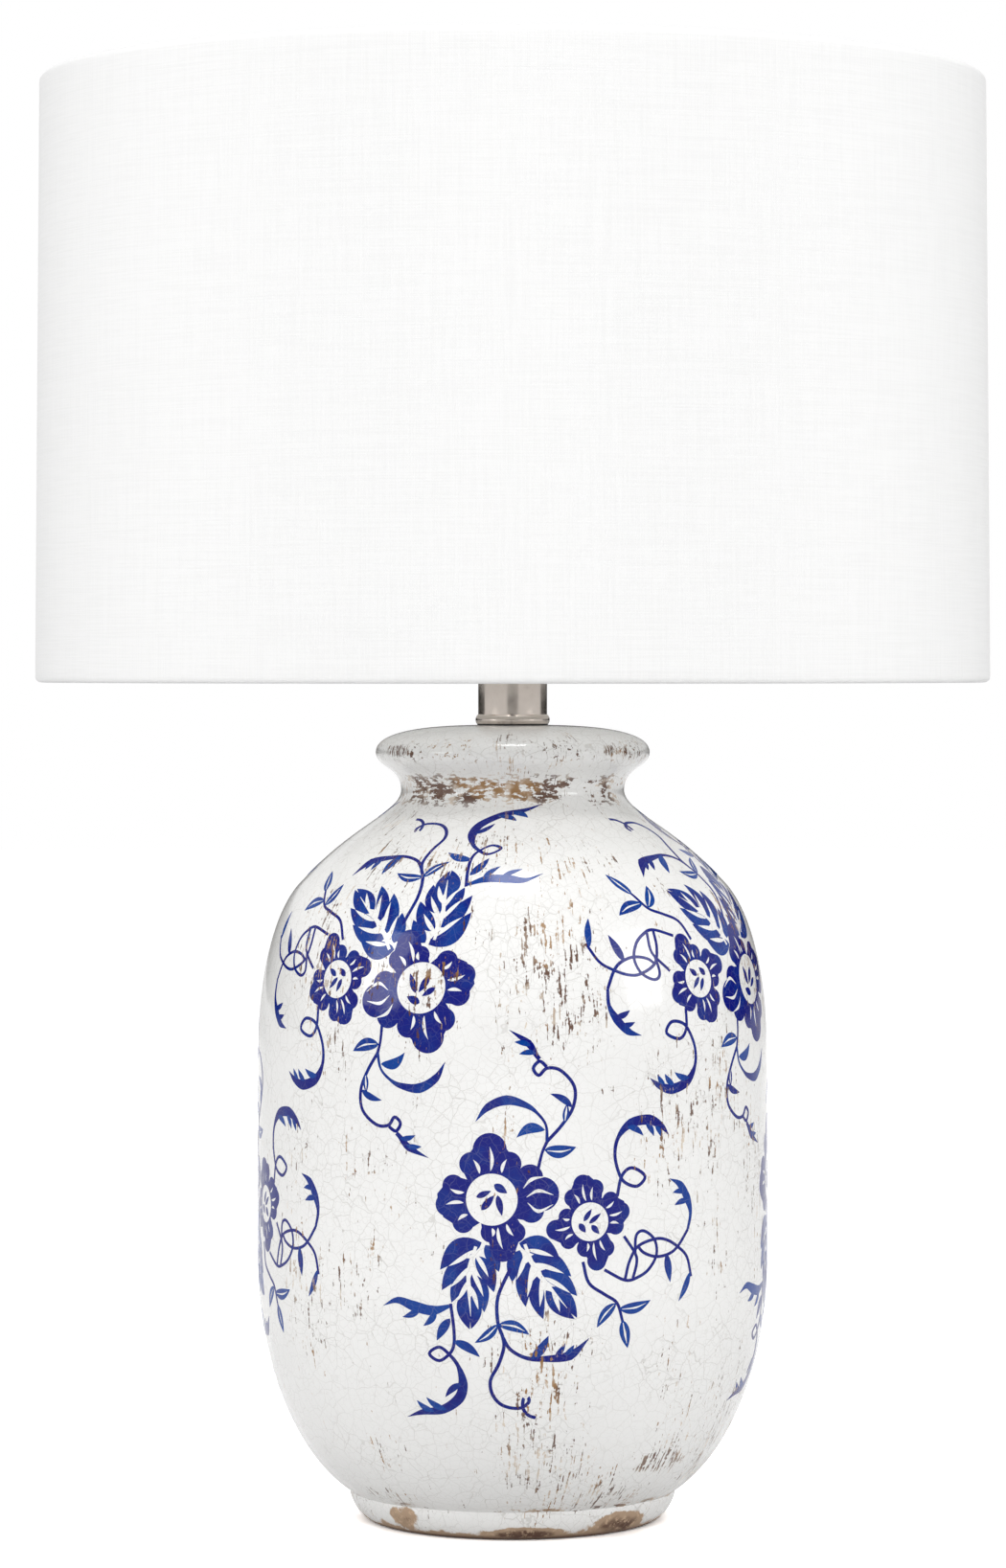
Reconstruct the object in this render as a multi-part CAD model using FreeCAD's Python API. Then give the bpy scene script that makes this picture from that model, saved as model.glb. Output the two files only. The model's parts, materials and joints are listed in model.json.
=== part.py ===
"""Ginger jar table lamp: a glazed jar on a foot ring, a nickel neck, a turn-knob socket with its
bulb, a detachable harp and a drum shade.

Millimetres, +Z up. The origin is on the table, on the lamp's axis. The harp lies in the XZ plane,
the switch knob faces -Y, and the cord outlet in the foot faces +Y.
"""

import FreeCAD
import Part
import math
import os

Vector = FreeCAD.Vector

# ---------------------------------------------------------------- jar
foot_contact_radius = 57.0  # outer edge of the flat ring that stands on the table
foot_recess_radius = 50.0
foot_recess_depth = 13.0
foot_band_radius = 67.7
foot_band_height = 12.4
foot_join_radius = 69.0  # where the belly starts, just outside the foot band
foot_join_rise = 1.0
belly_radius = 105.8
belly_rise = 94.6
side_rise = 82.6
shoulder_radius = 86.8
shoulder_rise = 74.8
waist_radius = 46.3
waist_rise = 37.1
lip_radius = 56.9
lip_rise = 15.5
crown_rise = 11.2
jar_wall = 6.0
foot_edge_round = 1.5  # inner edge of the foot ring
# How full each curve of the outline is: the share of its rise or run that its handles reach.
foot_fullness = 0.6
foot_band_fullness = 0.28
belly_low_run = 0.671
belly_low_climb = 0.180
belly_fullness = 0.379
shoulder_fullness = 0.795
shoulder_lean = 0.9  # inward travel for each millimetre of climb at the shoulder point
shoulder_end_share = 0.022
slope_fullness = 0.595
waist_fullness = 0.254
lip_low_fullness = 0.585
lip_high_fullness = 0.397
crown_edge_fullness = 0.583
crown_reach = 0.717
crown_drop = 0.3

# ---------------------------------------------------------------- cord outlet in the foot ring
outlet_height = 7.0
grommet_bore_radius = 3.3
grommet_wall = 1.0
grommet_lip_radius = 5.6
grommet_lip_thickness = 1.6
grommet_clearance = 0.1
outlet_seat_inset = 6.5  # how far the lip's seat lies inside the foot band

# ---------------------------------------------------------------- pipe and its fixings
pipe_radius = 4.85
pipe_bore_radius = 3.25
pipe_clearance = 0.05
pipe_tail = 0.9  # pipe showing below the nut
foot_gasket_radius = 19.0
foot_gasket_thickness = 1.2
foot_washer_radius = 22.0
foot_washer_thickness = 1.6
lock_washer_radius = 8.4
lock_washer_thickness = 1.5
lock_washer_gap = 1.2
nut_across_flats = 14.3
nut_thickness = 4.2
ceramic_hole_clearance = 0.6

# ---------------------------------------------------------------- neck
neck_gasket_thickness = 0.6
neck_gasket_inset = 0.2
neck_radius = 14.3
neck_height = 25.4
neck_wall = 0.9
neck_bead_height = 3.9
neck_bead_stand = 1.1  # how far the bead stands out from the neck, and how far at its foot
neck_bead_foot = 0.6
neck_top_round = 0.6

# ---------------------------------------------------------------- harp saddle
saddle_width = 12.7
saddle_thickness = 1.5
saddle_reach = 27.5  # axis to the middle of each upright arm
saddle_bend_radius = 9.0
saddle_arm_rise = 20.0
tongue_width = 4.2
tongue_rise = 10.0
ledge_margin = 0.6  # ledge beyond the harp's leg

# ---------------------------------------------------------------- socket
thread_pitch = 3.63
socket_turns = 6
thread_clearance = 0.25
socket_thread_depth = 0.4
socket_thread_wall = 0.35
liner_clearance = 0.3
liner_wall = 0.8
liner_inset = 1.5
shell_fit = 0.1
shell_wall = 0.5
shell_overlap = 3.0  # shell inside the cap's skirt
shell_above_thread = 12.5
shell_bead_radius = 0.9
cap_fit = 0.2
cap_wall = 0.7
cap_hub_radius = 7.5
cap_hub_height = 6.0
cap_dome_rise = 6.0
cap_skirt_rise = 4.0
pipe_in_cap = 7.0
set_screw_radius = 1.5
set_screw_head_radius = 2.6
set_screw_head_thickness = 1.6
set_screw_slot = 0.6
core_gap = 1.4  # between the pipe's end and the core
core_radius = 10.5
core_height = 18.0
core_flange_thickness = 2.5
core_clearance = 0.1
terminal_radius = 2.6
terminal_head = 1.4
terminal_shank_radius = 1.4
terminal_shank = 4.0
tab_width = 4.0
tab_length = 9.0
tab_thickness = 0.5
tab_rise = 2.2
tab_clearance = 0.4
rivet_radius = 0.9
rivet_head_radius = 1.5
rivet_head = 0.6
rivet_length = 3.0
rivet_inset = 2.4  # from the core's side to the rivets

# ---------------------------------------------------------------- switch
shaft_radius = 2.0
shaft_clearance = 0.05
shaft_depth = 6.0  # shaft inside the socket core
shaft_window_radius = 3.0
knob_gap = 1.2  # between the shell and the knob
knob_length = 13.0
knob_base_radius = 6.2
knob_tip_radius = 5.0
knob_flutes = 10
knob_flute_radius = 1.0
knob_round = 0.8
knob_cover = 2.5  # knob beyond the shaft's end

# ---------------------------------------------------------------- bulb
bulb_thread_radius = 13.0
bulb_thread_depth = 0.45
bulb_thread_wall = 0.35
bulb_turns = 5
bulb_contact_radius = 4.6
bulb_contact_height = 1.4
bulb_cone_inset = 0.75
bulb_cone_height = 4.2
bulb_rim_rise = 3.4
bulb_rim_stand = 0.1
bulb_cement_gap = 0.2
bulb_neck_length = 10.0
bulb_radius = 30.0
bulb_glass_rise = 48.0  # from the rim to the widest point
bulb_glass_wall = 0.8
stem_flare_thickness = 1.0
stem_radius = 3.2
stem_clearance = 0.1
stem_rise = 26.0
filament_wire_radius = 0.4
filament_half_width = 14.0
filament_rise = 22.0
filament_inset = 1.6  # from the stem's axis to each lead
filament_sink = 2.0  # leads inside the stem
seat_gap = 0.05  # between pieces of different bodies that rest on each other

# ---------------------------------------------------------------- harp
harp_height = 228.6  # from the saddle to the shade's seat
harp_wire_radius = 1.7
harp_leg_gap = 0.3
harp_leg_straight = 40.0
harp_half_width = 57.0
harp_bow_start = 36.0  # climb from the straight leg to the full width
harp_bow_height = 74.0
harp_shoulder_run = 19.0
harp_shoulder_drop = 12.0
harp_top_run = 11.0
harp_eye_radius = 6.0
harp_eye_thickness = 2.4
harp_bend_share = 0.45
sleeve_wall = 0.8
sleeve_height = 12.0
sleeve_clearance = 0.3
stud_shank_radius = 2.6
stud_clearance = 0.05
stud_head_radius = 4.2
stud_head_thickness = 1.5
stud_flange_radius = 8.0
stud_flange_thickness = 1.5
stud_pilot_radius = 5.3
stud_pilot_height = 1.2
stud_thread_radius = 3.17
stud_thread_length = 8.0

# ---------------------------------------------------------------- shade
shade_bottom_radius = 197.8
shade_taper = 1.7  # how much narrower the shade is at its top
shade_height = 250.1
shade_drop = 10.15  # from the shade's top edge down to its washer's top
fabric_thickness = 0.6
liner_thickness = 0.5
glue_gap = 0.05
ring_wire_radius = 1.5
ring_gap = 0.2  # between a ring and the hem that is turned in behind it
hem_slope = 5.0  # height over which the turned-in fabric goes from the ring back to the liner
hem_flat = 5.0
washer_radius = 12.0
washer_thickness = 1.6
washer_clearance = 0.2
arm_count = 3
arm_radius = 1.5
arm_rise_run = 13.0  # run over which each arm climbs to the top ring
arm_first_angle = 90.0

# ---------------------------------------------------------------- finial
finial_height = 21.0
insert_wall = 1.7
insert_length = 10.0
finial_base_stand = 1.8
finial_base_height = 2.2
finial_waist_wall = 1.0
finial_waist_rise = 2.2
finial_ball_radius = 7.8
finial_tip_radius = 2.2
finial_tip_height = 1.8

# ---------------------------------------------------------------- places that follow from the sizes
foot_join_height = foot_band_height + foot_join_rise
belly_low_height = foot_join_height + belly_rise
belly_high_height = belly_low_height + side_rise
shoulder_height = belly_high_height + shoulder_rise
waist_height = shoulder_height + waist_rise
lip_height = waist_height + lip_rise
jar_height = lip_height + crown_rise

neck_seat_radius = neck_radius + neck_bead_stand
neck_base = jar_height + neck_gasket_thickness
neck_top = neck_base + neck_height
saddle_top = neck_top + saddle_thickness
pipe_hole_radius = pipe_radius + pipe_clearance

socket_thread_radius = bulb_thread_radius + thread_clearance  # its innermost point
screw_shell_radius = socket_thread_radius + socket_thread_wall + socket_thread_depth
liner_bore_radius = screw_shell_radius + liner_clearance
liner_radius = liner_bore_radius + liner_wall
shell_bore_radius = liner_radius + shell_fit
shell_radius = shell_bore_radius + shell_wall
cap_bore_radius = shell_radius + cap_fit
cap_radius = cap_bore_radius + cap_wall
core_flange_radius = liner_bore_radius - core_clearance
contact_hole_radius = math.hypot(tab_length, tab_width) / 2 + tab_clearance

pipe_top = saddle_top + pipe_in_cap
cap_shoulder = saddle_top + cap_hub_height
cap_rim = cap_shoulder + cap_dome_rise + cap_skirt_rise
core_base = pipe_top + core_gap
core_top = core_base + core_height
socket_floor_top = core_top + socket_thread_wall
socket_thread_top = socket_floor_top + socket_turns * thread_pitch
shell_base = cap_rim - shell_overlap
shell_top = socket_thread_top + shell_above_thread
liner_base = shell_base + liner_inset
liner_top = shell_top - liner_inset
shaft_height = cap_rim + shaft_window_radius + core_clearance
tab_top = socket_floor_top + tab_rise

bulb_base = tab_top + seat_gap
bulb_cone_base = bulb_base + bulb_contact_height
bulb_thread_base = bulb_cone_base + bulb_cone_height
bulb_rim_base = bulb_thread_base + bulb_turns * thread_pitch
bulb_rim = bulb_rim_base + bulb_rim_rise
bulb_centre = bulb_rim + bulb_glass_rise
bulb_root_radius = bulb_thread_radius - bulb_thread_depth
bulb_cone_radius = bulb_root_radius - bulb_cone_inset
bulb_neck_radius = bulb_root_radius - bulb_thread_wall - bulb_cement_gap
bulb_rim_radius = bulb_thread_radius + bulb_rim_stand
stem_top = bulb_rim + stem_rise

shoulder_of_saddle = neck_top + saddle_arm_rise
tongue_top = shoulder_of_saddle + tongue_rise
leg_x = saddle_reach + saddle_thickness / 2 + harp_leg_gap + harp_wire_radius
sleeve_x = (saddle_reach - saddle_thickness / 2 + leg_x + harp_wire_radius) / 2
sleeve_bore_radius = sleeve_clearance + math.hypot(
    sleeve_x - saddle_reach + saddle_thickness / 2, tongue_width / 2
)
sleeve_base = shoulder_of_saddle + seat_gap
shade_seat = saddle_top + harp_height
stud_flange_base = shade_seat - stud_flange_thickness
eye_top = stud_flange_base - seat_gap
eye_base = eye_top - harp_eye_thickness
eye_bore_radius = stud_shank_radius + stud_clearance
stud_tip = shade_seat + stud_pilot_height + stud_thread_length

washer_base = shade_seat + seat_gap
shade_top = washer_base + washer_thickness + shade_drop
shade_bottom = shade_top - shade_height
finial_base = washer_base + washer_thickness + seat_gap
hem_width = 2 * fabric_thickness + liner_thickness + 2 * glue_gap + 2 * ring_wire_radius + ring_gap
hem_radius = hem_width / 2

insert_radius = stud_thread_radius + insert_wall
finial_waist_radius = insert_radius + finial_waist_wall
finial_base_radius = finial_waist_radius + finial_base_stand


# ---------------------------------------------------------------- helpers
class Outline:
    """A closed outline of (radius, height) points that is turned about the lamp's axis."""

    def __init__(self, radius, height):
        self.first = (radius, height)
        self.at = self.first
        self.edges = []

    def line(self, radius, height):
        if math.dist(self.at, (radius, height)) > 1e-9:
            self.edges.append(Part.makeLine(point(*self.at), point(radius, height)))
        self.at = (radius, height)
        return self

    def arc(self, middle, end):
        self.edges.append(Part.Arc(point(*self.at), point(*middle), point(*end)).toShape())
        self.at = end
        return self

    def curve(self, first_handle, second_handle, end):
        bezier = Part.BezierCurve()
        bezier.setPoles([point(*p) for p in (self.at, first_handle, second_handle, end)])
        self.edges.append(bezier.toShape())
        self.at = end
        return self

    def solid(self):
        self.line(*self.first)
        face = Part.Face(Part.Wire(self.edges))
        return face.revolve(Vector(0, 0, 0), Vector(0, 0, 1), 360)


def point(radius, height):
    return Vector(radius, 0, height)


def rod(radius, base, top):
    return Part.makeCylinder(radius, top - base, Vector(0, 0, base))


def tube(radius, bore_radius, base, top):
    return rod(radius, base, top).cut(rod(bore_radius, base, top))


def rod_along_y(radius, start, end, height):
    """A cylinder from y = start to y = end, whichever way that runs."""
    direction = Vector(0, math.copysign(1, end - start), 0)
    return Part.makeCylinder(radius, abs(end - start), Vector(0, start, height), direction)


def bent_path(points, share):
    """Straight runs joined by tangent arcs, each as large as its share of its two runs allows."""
    edges = []
    at = points[0]
    for before, corner, after in zip(points, points[1:], points[2:]):
        towards = (corner - before).normalize()
        away = (after - corner).normalize()
        turn = towards.getAngle(away)
        setback = share * min((corner - before).Length, (after - corner).Length)
        radius = setback / math.tan(turn / 2)
        start = corner - towards * setback
        end = corner + away * setback
        inwards = (away - towards).normalize()
        middle = corner + inwards * (radius / math.cos(turn / 2) - radius)
        edges.append(Part.makeLine(at, start))
        edges.append(Part.Arc(start, middle, end).toShape())
        at = end
    edges.append(Part.makeLine(at, points[-1]))
    return Part.Wire(edges)


def wire_along(path, radius):
    """A round wire of that radius along a path."""
    first = path.Edges[0]
    direction = first.tangentAt(first.FirstParameter)
    section = Part.Wire(Part.makeCircle(radius, first.valueAt(first.FirstParameter), direction))
    return path.makePipeShell([section], True, False)


def ring(wire_radius, ring_radius, height):
    return Part.makeTorus(ring_radius, wire_radius, Vector(0, 0, height))


def around(shape, count, first_angle=0.0):
    """Copies of a shape, evenly spaced about the lamp's axis."""
    copies = []
    for i in range(count):
        copy = shape.copy()
        copy.rotate(Vector(0, 0, 0), Vector(0, 0, 1), first_angle + i * 360.0 / count)
        copies.append(copy)
    return copies


def rolled_thread(outline, radius, depth, base, turns, upwards):
    """Adds a rolled thread's waves to an outline, from the thread's foot upwards, or from its top
    downwards, with a root at the foot and a crest at the top."""
    step = thread_pitch / 2 if upwards else -thread_pitch / 2
    height = base if upwards else base + turns * thread_pitch
    for i in range(2 * turns):
        at_crest = (i % 2 == 1) == upwards
        outwards = depth if at_crest else 0.0
        outline.arc((radius + outwards, height + step / 2), (radius + depth / 2, height + step))
        height += step
    return outline


# ---------------------------------------------------------------- jar and what holds it
def jar_wall_outline(outline, inset):
    """The jar's side from the foot join to the crown, moved inwards by inset."""
    start = (foot_join_radius - inset / 2, foot_join_height + inset)
    belly_low = (belly_radius - inset, belly_low_height)
    belly_high = (belly_radius - inset, belly_high_height)
    lean = math.hypot(shoulder_lean, 1)
    shoulder = (
        shoulder_radius - inset / lean,
        shoulder_height - inset * shoulder_lean / lean,
    )
    waist = (waist_radius - inset, waist_height)
    lip = (lip_radius - inset, lip_height)
    crown = (neck_seat_radius, jar_height - inset)
    outline.line(*start)
    run = belly_low[0] - start[0]
    climb = belly_low[1] - start[1]
    outline.curve(
        (start[0] + belly_low_run * run, start[1] + belly_low_climb * climb),
        (belly_low[0], belly_low[1] - belly_fullness * climb),
        belly_low,
    )
    outline.line(*belly_high)
    climb = shoulder[1] - belly_high[1]
    back = shoulder_end_share * climb
    outline.curve(
        (belly_high[0], belly_high[1] + shoulder_fullness * climb),
        (shoulder[0] + back * shoulder_lean, shoulder[1] - back),
        shoulder,
    )
    climb = waist[1] - shoulder[1]
    ahead = slope_fullness * climb
    outline.curve(
        (shoulder[0] - ahead * shoulder_lean, shoulder[1] + ahead),
        (waist[0], waist[1] - waist_fullness * climb),
        waist,
    )
    outline.curve(
        (waist[0], waist[1] + lip_low_fullness * lip_rise),
        (lip[0], lip[1] - lip_high_fullness * lip_rise),
        lip,
    )
    climb = crown[1] - lip[1]
    outline.curve(
        (lip[0], lip[1] + crown_edge_fullness * climb),
        (crown[0] + crown_reach * (lip[0] - crown[0]), crown[1] - crown_drop),
        crown,
    )
    return outline.line(0, crown[1])


def make_jar():
    """One glazed casting: foot ring, belly, shoulder, waist, lip and closed crown."""
    outline = Outline(0, 0).line(foot_contact_radius, 0)
    outline.curve(
        (foot_contact_radius + foot_fullness * (foot_band_radius - foot_contact_radius), 0),
        (foot_band_radius, foot_band_height * (1 - foot_band_fullness)),
        (foot_band_radius, foot_band_height),
    )
    body = jar_wall_outline(outline, 0.0).solid()
    hollow = jar_wall_outline(Outline(0, foot_join_height + jar_wall), jar_wall).solid()
    recess = rod(foot_recess_radius, 0, foot_recess_depth)
    bore = rod(pipe_radius + ceramic_hole_clearance, 0, jar_height)
    jar = body.cut(hollow).cut(recess).cut(bore)
    jar = jar.makeFillet(foot_edge_round, foot_inner_edges(jar))
    outlet = rod_along_y(outlet_hole_radius(), foot_recess_radius / 2, belly_radius, outlet_height)
    seat = rod_along_y(outlet_pocket_radius(), outlet_seat(), belly_radius, outlet_height)
    return jar.cut(outlet).cut(seat)


def foot_inner_edges(jar):
    """The round edge between the foot's flat face and its recess."""
    found = []
    for edge in jar.Edges:
        box = edge.BoundBox
        if abs(box.ZMin) + abs(box.ZMax) < 1e-6 and abs(box.XMax - foot_recess_radius) < 1e-6:
            found.append(edge)
    return found


def outlet_hole_radius():
    return grommet_bore_radius + grommet_wall + grommet_clearance


def outlet_pocket_radius():
    return grommet_lip_radius + grommet_clearance


def outlet_seat():
    return foot_band_radius - outlet_seat_inset


def make_cord_grommet():
    """A lipped bush that lines the cord's way out through the foot ring."""
    sleeve = rod_along_y(
        grommet_bore_radius + grommet_wall,
        foot_recess_radius,
        outlet_seat() + grommet_lip_thickness,
        outlet_height,
    )
    lip = rod_along_y(
        grommet_lip_radius, outlet_seat(), outlet_seat() + grommet_lip_thickness, outlet_height
    )
    bush = sleeve.fuse(lip).removeSplitter()
    bore = rod_along_y(grommet_bore_radius, 0, belly_radius, outlet_height)
    return bush.cut(bore)


def stack_below_floor():
    """Heights of the pieces under the jar's floor, from the floor down."""
    gasket = foot_recess_depth - foot_gasket_thickness
    washer = gasket - foot_washer_thickness
    lock = washer - lock_washer_thickness
    nut = lock - nut_thickness
    return gasket, washer, lock, nut


def make_foot_gasket():
    gasket = stack_below_floor()[0]
    return tube(foot_gasket_radius, pipe_hole_radius, gasket, foot_recess_depth)


def make_foot_washer():
    gasket, washer = stack_below_floor()[:2]
    return tube(foot_washer_radius, pipe_hole_radius, washer, gasket)


def make_lock_washer():
    """A split spring washer."""
    washer, lock = stack_below_floor()[1:3]
    body = tube(lock_washer_radius, pipe_hole_radius, lock, washer)
    split = Part.makeBox(
        lock_washer_radius,
        lock_washer_gap,
        lock_washer_thickness,
        Vector(0, -lock_washer_gap / 2, lock),
    )
    return body.cut(split)


def make_pipe_nut():
    """A hexagon nut with chamfered corners."""
    lock, base = stack_below_floor()[2:]
    corner = nut_across_flats / math.sqrt(3)
    points = [
        Vector(corner * math.cos(math.pi * k / 3), corner * math.sin(math.pi * k / 3), base)
        for k in range(7)
    ]
    prism = Part.Face(Part.makePolygon(points)).extrude(Vector(0, 0, nut_thickness))
    flat = nut_across_flats / 2
    chamfer = corner - flat
    cone = (
        Outline(0, base)
        .line(flat, base)
        .line(corner, base + chamfer)
        .line(corner, lock - chamfer)
        .line(flat, lock)
        .line(0, lock)
        .solid()
    )
    return prism.common(cone).cut(rod(pipe_hole_radius, base, lock))


def make_lamp_pipe():
    base = stack_below_floor()[3] - pipe_tail
    return tube(pipe_radius, pipe_bore_radius, base, saddle_top + pipe_in_cap)


def make_neck_gasket():
    radius = neck_radius + neck_bead_foot - neck_gasket_inset
    return tube(radius, pipe_hole_radius, jar_height, neck_base)


def make_neck():
    """A spun cup, open below, with a rolled bead round its foot."""
    inner = neck_radius - neck_wall
    return (
        Outline(inner, neck_base)
        .line(neck_radius + neck_bead_foot, neck_base)
        .arc(
            (neck_radius + neck_bead_stand, neck_base + neck_bead_height / 2),
            (neck_radius, neck_base + neck_bead_height),
        )
        .line(neck_radius, neck_top - neck_top_round)
        .line(neck_radius - neck_top_round, neck_top)
        .line(pipe_hole_radius, neck_top)
        .line(pipe_hole_radius, neck_top - neck_wall)
        .line(inner, neck_top - neck_wall)
        .solid()
    )


# ---------------------------------------------------------------- saddle and harp
def saddle_side(side):
    """Middle line of half the strip, from the axis out and up to the arm's shoulder."""
    height = neck_top + saddle_thickness / 2
    return [
        Vector(0, 0, height),
        Vector(side * saddle_reach, 0, height),
        Vector(side * saddle_reach, 0, shoulder_of_saddle),
    ]


def make_harp_saddle():
    """A U-shaped strip with a hole for the pipe. Each arm ends in a ledge, which the harp's leg and
    its sleeve stand on, and a narrow tongue beside the leg."""
    parts = []
    for side in (-1, 1):
        start, corner, end = saddle_side(side)
        setback = saddle_bend_radius
        centre = corner + Vector(-side * setback, 0, setback)
        middle = centre + Vector(side, 0, -1) * (setback / math.sqrt(2))
        before = corner - Vector(side * setback, 0, 0)
        after = corner + Vector(0, 0, setback)
        path = Part.Wire(
            [
                Part.makeLine(start, before),
                Part.Arc(before, middle, after).toShape(),
                Part.makeLine(after, end),
            ]
        )
        half_width = saddle_width / 2
        half_thick = saddle_thickness / 2
        corners = [
            Vector(0, y, start.z + z)
            for y, z in (
                (-half_width, -half_thick),
                (half_width, -half_thick),
                (half_width, half_thick),
                (-half_width, half_thick),
                (-half_width, -half_thick),
            )
        ]
        parts.append(path.makePipeShell([Part.makePolygon(corners)], True, False))
        parts.append(
            Part.makeBox(
                saddle_thickness,
                tongue_width,
                tongue_rise,
                Vector(side * saddle_reach - half_thick, -tongue_width / 2, end.z),
            )
        )
        ledge_start = side * (saddle_reach - half_thick)
        ledge_end = side * (leg_x + harp_wire_radius + ledge_margin)
        parts.append(
            Part.makeBox(
                abs(ledge_end - ledge_start),
                saddle_width,
                saddle_thickness,
                Vector(min(ledge_start, ledge_end), -half_width, end.z - saddle_thickness),
            )
        )
    strip = parts[0].fuse(parts[1:]).removeSplitter()
    return strip.cut(rod(pipe_hole_radius, neck_top, saddle_top))


def harp_half(side):
    """Middle line of half the harp, from the foot of a leg to the eye."""
    top = eye_top - harp_wire_radius
    bow_low = shoulder_of_saddle + harp_leg_straight + harp_bow_start
    bow_high = bow_low + harp_bow_height
    return [
        Vector(side * leg_x, 0, shoulder_of_saddle + seat_gap),
        Vector(side * leg_x, 0, shoulder_of_saddle + harp_leg_straight),
        Vector(side * harp_half_width, 0, bow_low),
        Vector(side * harp_half_width, 0, bow_high),
        Vector(side * (harp_top_run + harp_shoulder_run), 0, top - harp_shoulder_drop),
        Vector(side * harp_top_run, 0, top),
        Vector(side * harp_eye_radius / 2, 0, top),
    ]


def make_harp():
    """A wire bow with a flat eye at its top for the stud."""
    eye = rod(harp_eye_radius, eye_base, eye_top)
    halves = [
        wire_along(bent_path(harp_half(side), harp_bend_share), harp_wire_radius)
        for side in (-1, 1)
    ]
    flat = Part.makeBox(
        4 * harp_half_width,
        4 * harp_eye_radius,
        eye_top - saddle_top,
        Vector(-2 * harp_half_width, -2 * harp_eye_radius, saddle_top),
    )
    bow = eye.fuse([half.common(flat) for half in halves])
    under_eye = rod(harp_eye_radius, eye_base - 2 * harp_wire_radius, eye_base)
    return bow.cut(under_eye).cut(rod(eye_bore_radius, eye_base, eye_top))


def make_harp_sleeve(side):
    """A ferrule that slides over a leg's foot and the saddle's tongue."""
    sleeve = tube(
        sleeve_bore_radius + sleeve_wall, sleeve_bore_radius, sleeve_base, sleeve_base + sleeve_height
    )
    sleeve.translate(Vector(side * sleeve_x, 0, 0))
    return sleeve


def make_harp_stud():
    """A riveted stud that turns in the harp's eye: head, shank, flange, pilot and thread."""
    head_top = eye_base - seat_gap
    return (
        Outline(0, head_top - stud_head_thickness)
        .line(stud_head_radius, head_top - stud_head_thickness)
        .line(stud_head_radius, head_top)
        .line(stud_shank_radius, head_top)
        .line(stud_shank_radius, stud_flange_base)
        .line(stud_flange_radius, stud_flange_base)
        .line(stud_flange_radius, shade_seat)
        .line(stud_pilot_radius, shade_seat)
        .line(stud_pilot_radius, shade_seat + stud_pilot_height)
        .line(stud_thread_radius, shade_seat + stud_pilot_height)
        .line(stud_thread_radius, stud_tip)
        .line(0, stud_tip)
        .solid()
    )


# ---------------------------------------------------------------- socket
def make_socket_cap():
    """A spun cap: threaded hub, dome and skirt."""
    dome_top = cap_shoulder + cap_dome_rise
    return (
        Outline(pipe_hole_radius, saddle_top)
        .line(cap_hub_radius, saddle_top)
        .line(cap_hub_radius, cap_shoulder)
        .curve(
            ((cap_hub_radius + cap_radius) / 2, cap_shoulder),
            (cap_radius, cap_shoulder + cap_dome_rise / 2),
            (cap_radius, dome_top),
        )
        .line(cap_radius, cap_rim)
        .line(cap_bore_radius, cap_rim)
        .line(cap_bore_radius, dome_top)
        .curve(
            (cap_bore_radius, cap_shoulder + cap_dome_rise / 2 + cap_wall),
            ((cap_hub_radius + cap_bore_radius) / 2, cap_shoulder + cap_wall),
            (cap_hub_radius, cap_shoulder + cap_wall),
        )
        .line(pipe_hole_radius, cap_shoulder + cap_wall)
        .solid()
        .cut(rod_along_y(set_screw_radius + pipe_clearance, 0, cap_radius, set_screw_height()))
    )


def set_screw_height():
    return saddle_top + cap_hub_height / 2


def make_cap_set_screw():
    """A slotted screw through the hub, which grips the pipe."""
    shank = rod_along_y(set_screw_radius, pipe_hole_radius, cap_hub_radius, set_screw_height())
    head_start = cap_hub_radius
    head_end = cap_hub_radius + set_screw_head_thickness
    head = rod_along_y(set_screw_head_radius, head_start, head_end, set_screw_height())
    slot = Part.makeBox(
        2 * set_screw_head_radius,
        set_screw_slot,
        set_screw_slot,
        Vector(
            -set_screw_head_radius,
            head_end - set_screw_slot,
            set_screw_height() - set_screw_slot / 2,
        ),
    )
    return shank.fuse(head).cut(slot)


def shaft_window(radius):
    """The way for the switch shaft through the socket's walls."""
    return rod_along_y(radius, -core_radius / 2, -cap_radius * 2, shaft_height)


def make_socket_shell():
    """The nickel outer shell, with a rolled bead at its mouth."""
    bead = shell_radius + shell_bead_radius
    shell = (
        Outline(shell_bore_radius, shell_base)
        .line(shell_radius, shell_base)
        .line(shell_radius, shell_top - 2 * shell_bead_radius)
        .arc((bead, shell_top - shell_bead_radius), (shell_radius, shell_top))
        .line(shell_bore_radius, shell_top)
        .solid()
    )
    return shell.cut(shaft_window(shaft_window_radius))


def make_socket_liner():
    """The card sleeve between the shell and the live parts."""
    sleeve = tube(liner_radius, liner_bore_radius, liner_base, liner_top)
    return sleeve.cut(shaft_window(shaft_window_radius))


def make_socket_core():
    """The moulded block that carries the contacts and the switch."""
    flange_base = core_top - core_flange_thickness
    body = rod(core_radius, core_base, flange_base).fuse(
        rod(core_flange_radius, flange_base, core_top)
    )
    core = body.removeSplitter()
    core = core.cut(
        rod_along_y(shaft_radius + shaft_clearance, shaft_end(), -cap_radius * 2, shaft_height)
    )
    for side in (-1, 1):
        core = core.cut(terminal_shank_hole(side))
        core = core.cut(rivet_shank(side, rivet_radius + core_clearance))
    return core


def rivet_shank(side, radius):
    """One rivet's shank, or its hole, from inside the core to the top of the screw shell's floor."""
    shank = rod(radius, core_top - rivet_length, socket_floor_top)
    shank.translate(Vector(0, side * (core_radius - rivet_inset), 0))
    return shank


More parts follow.
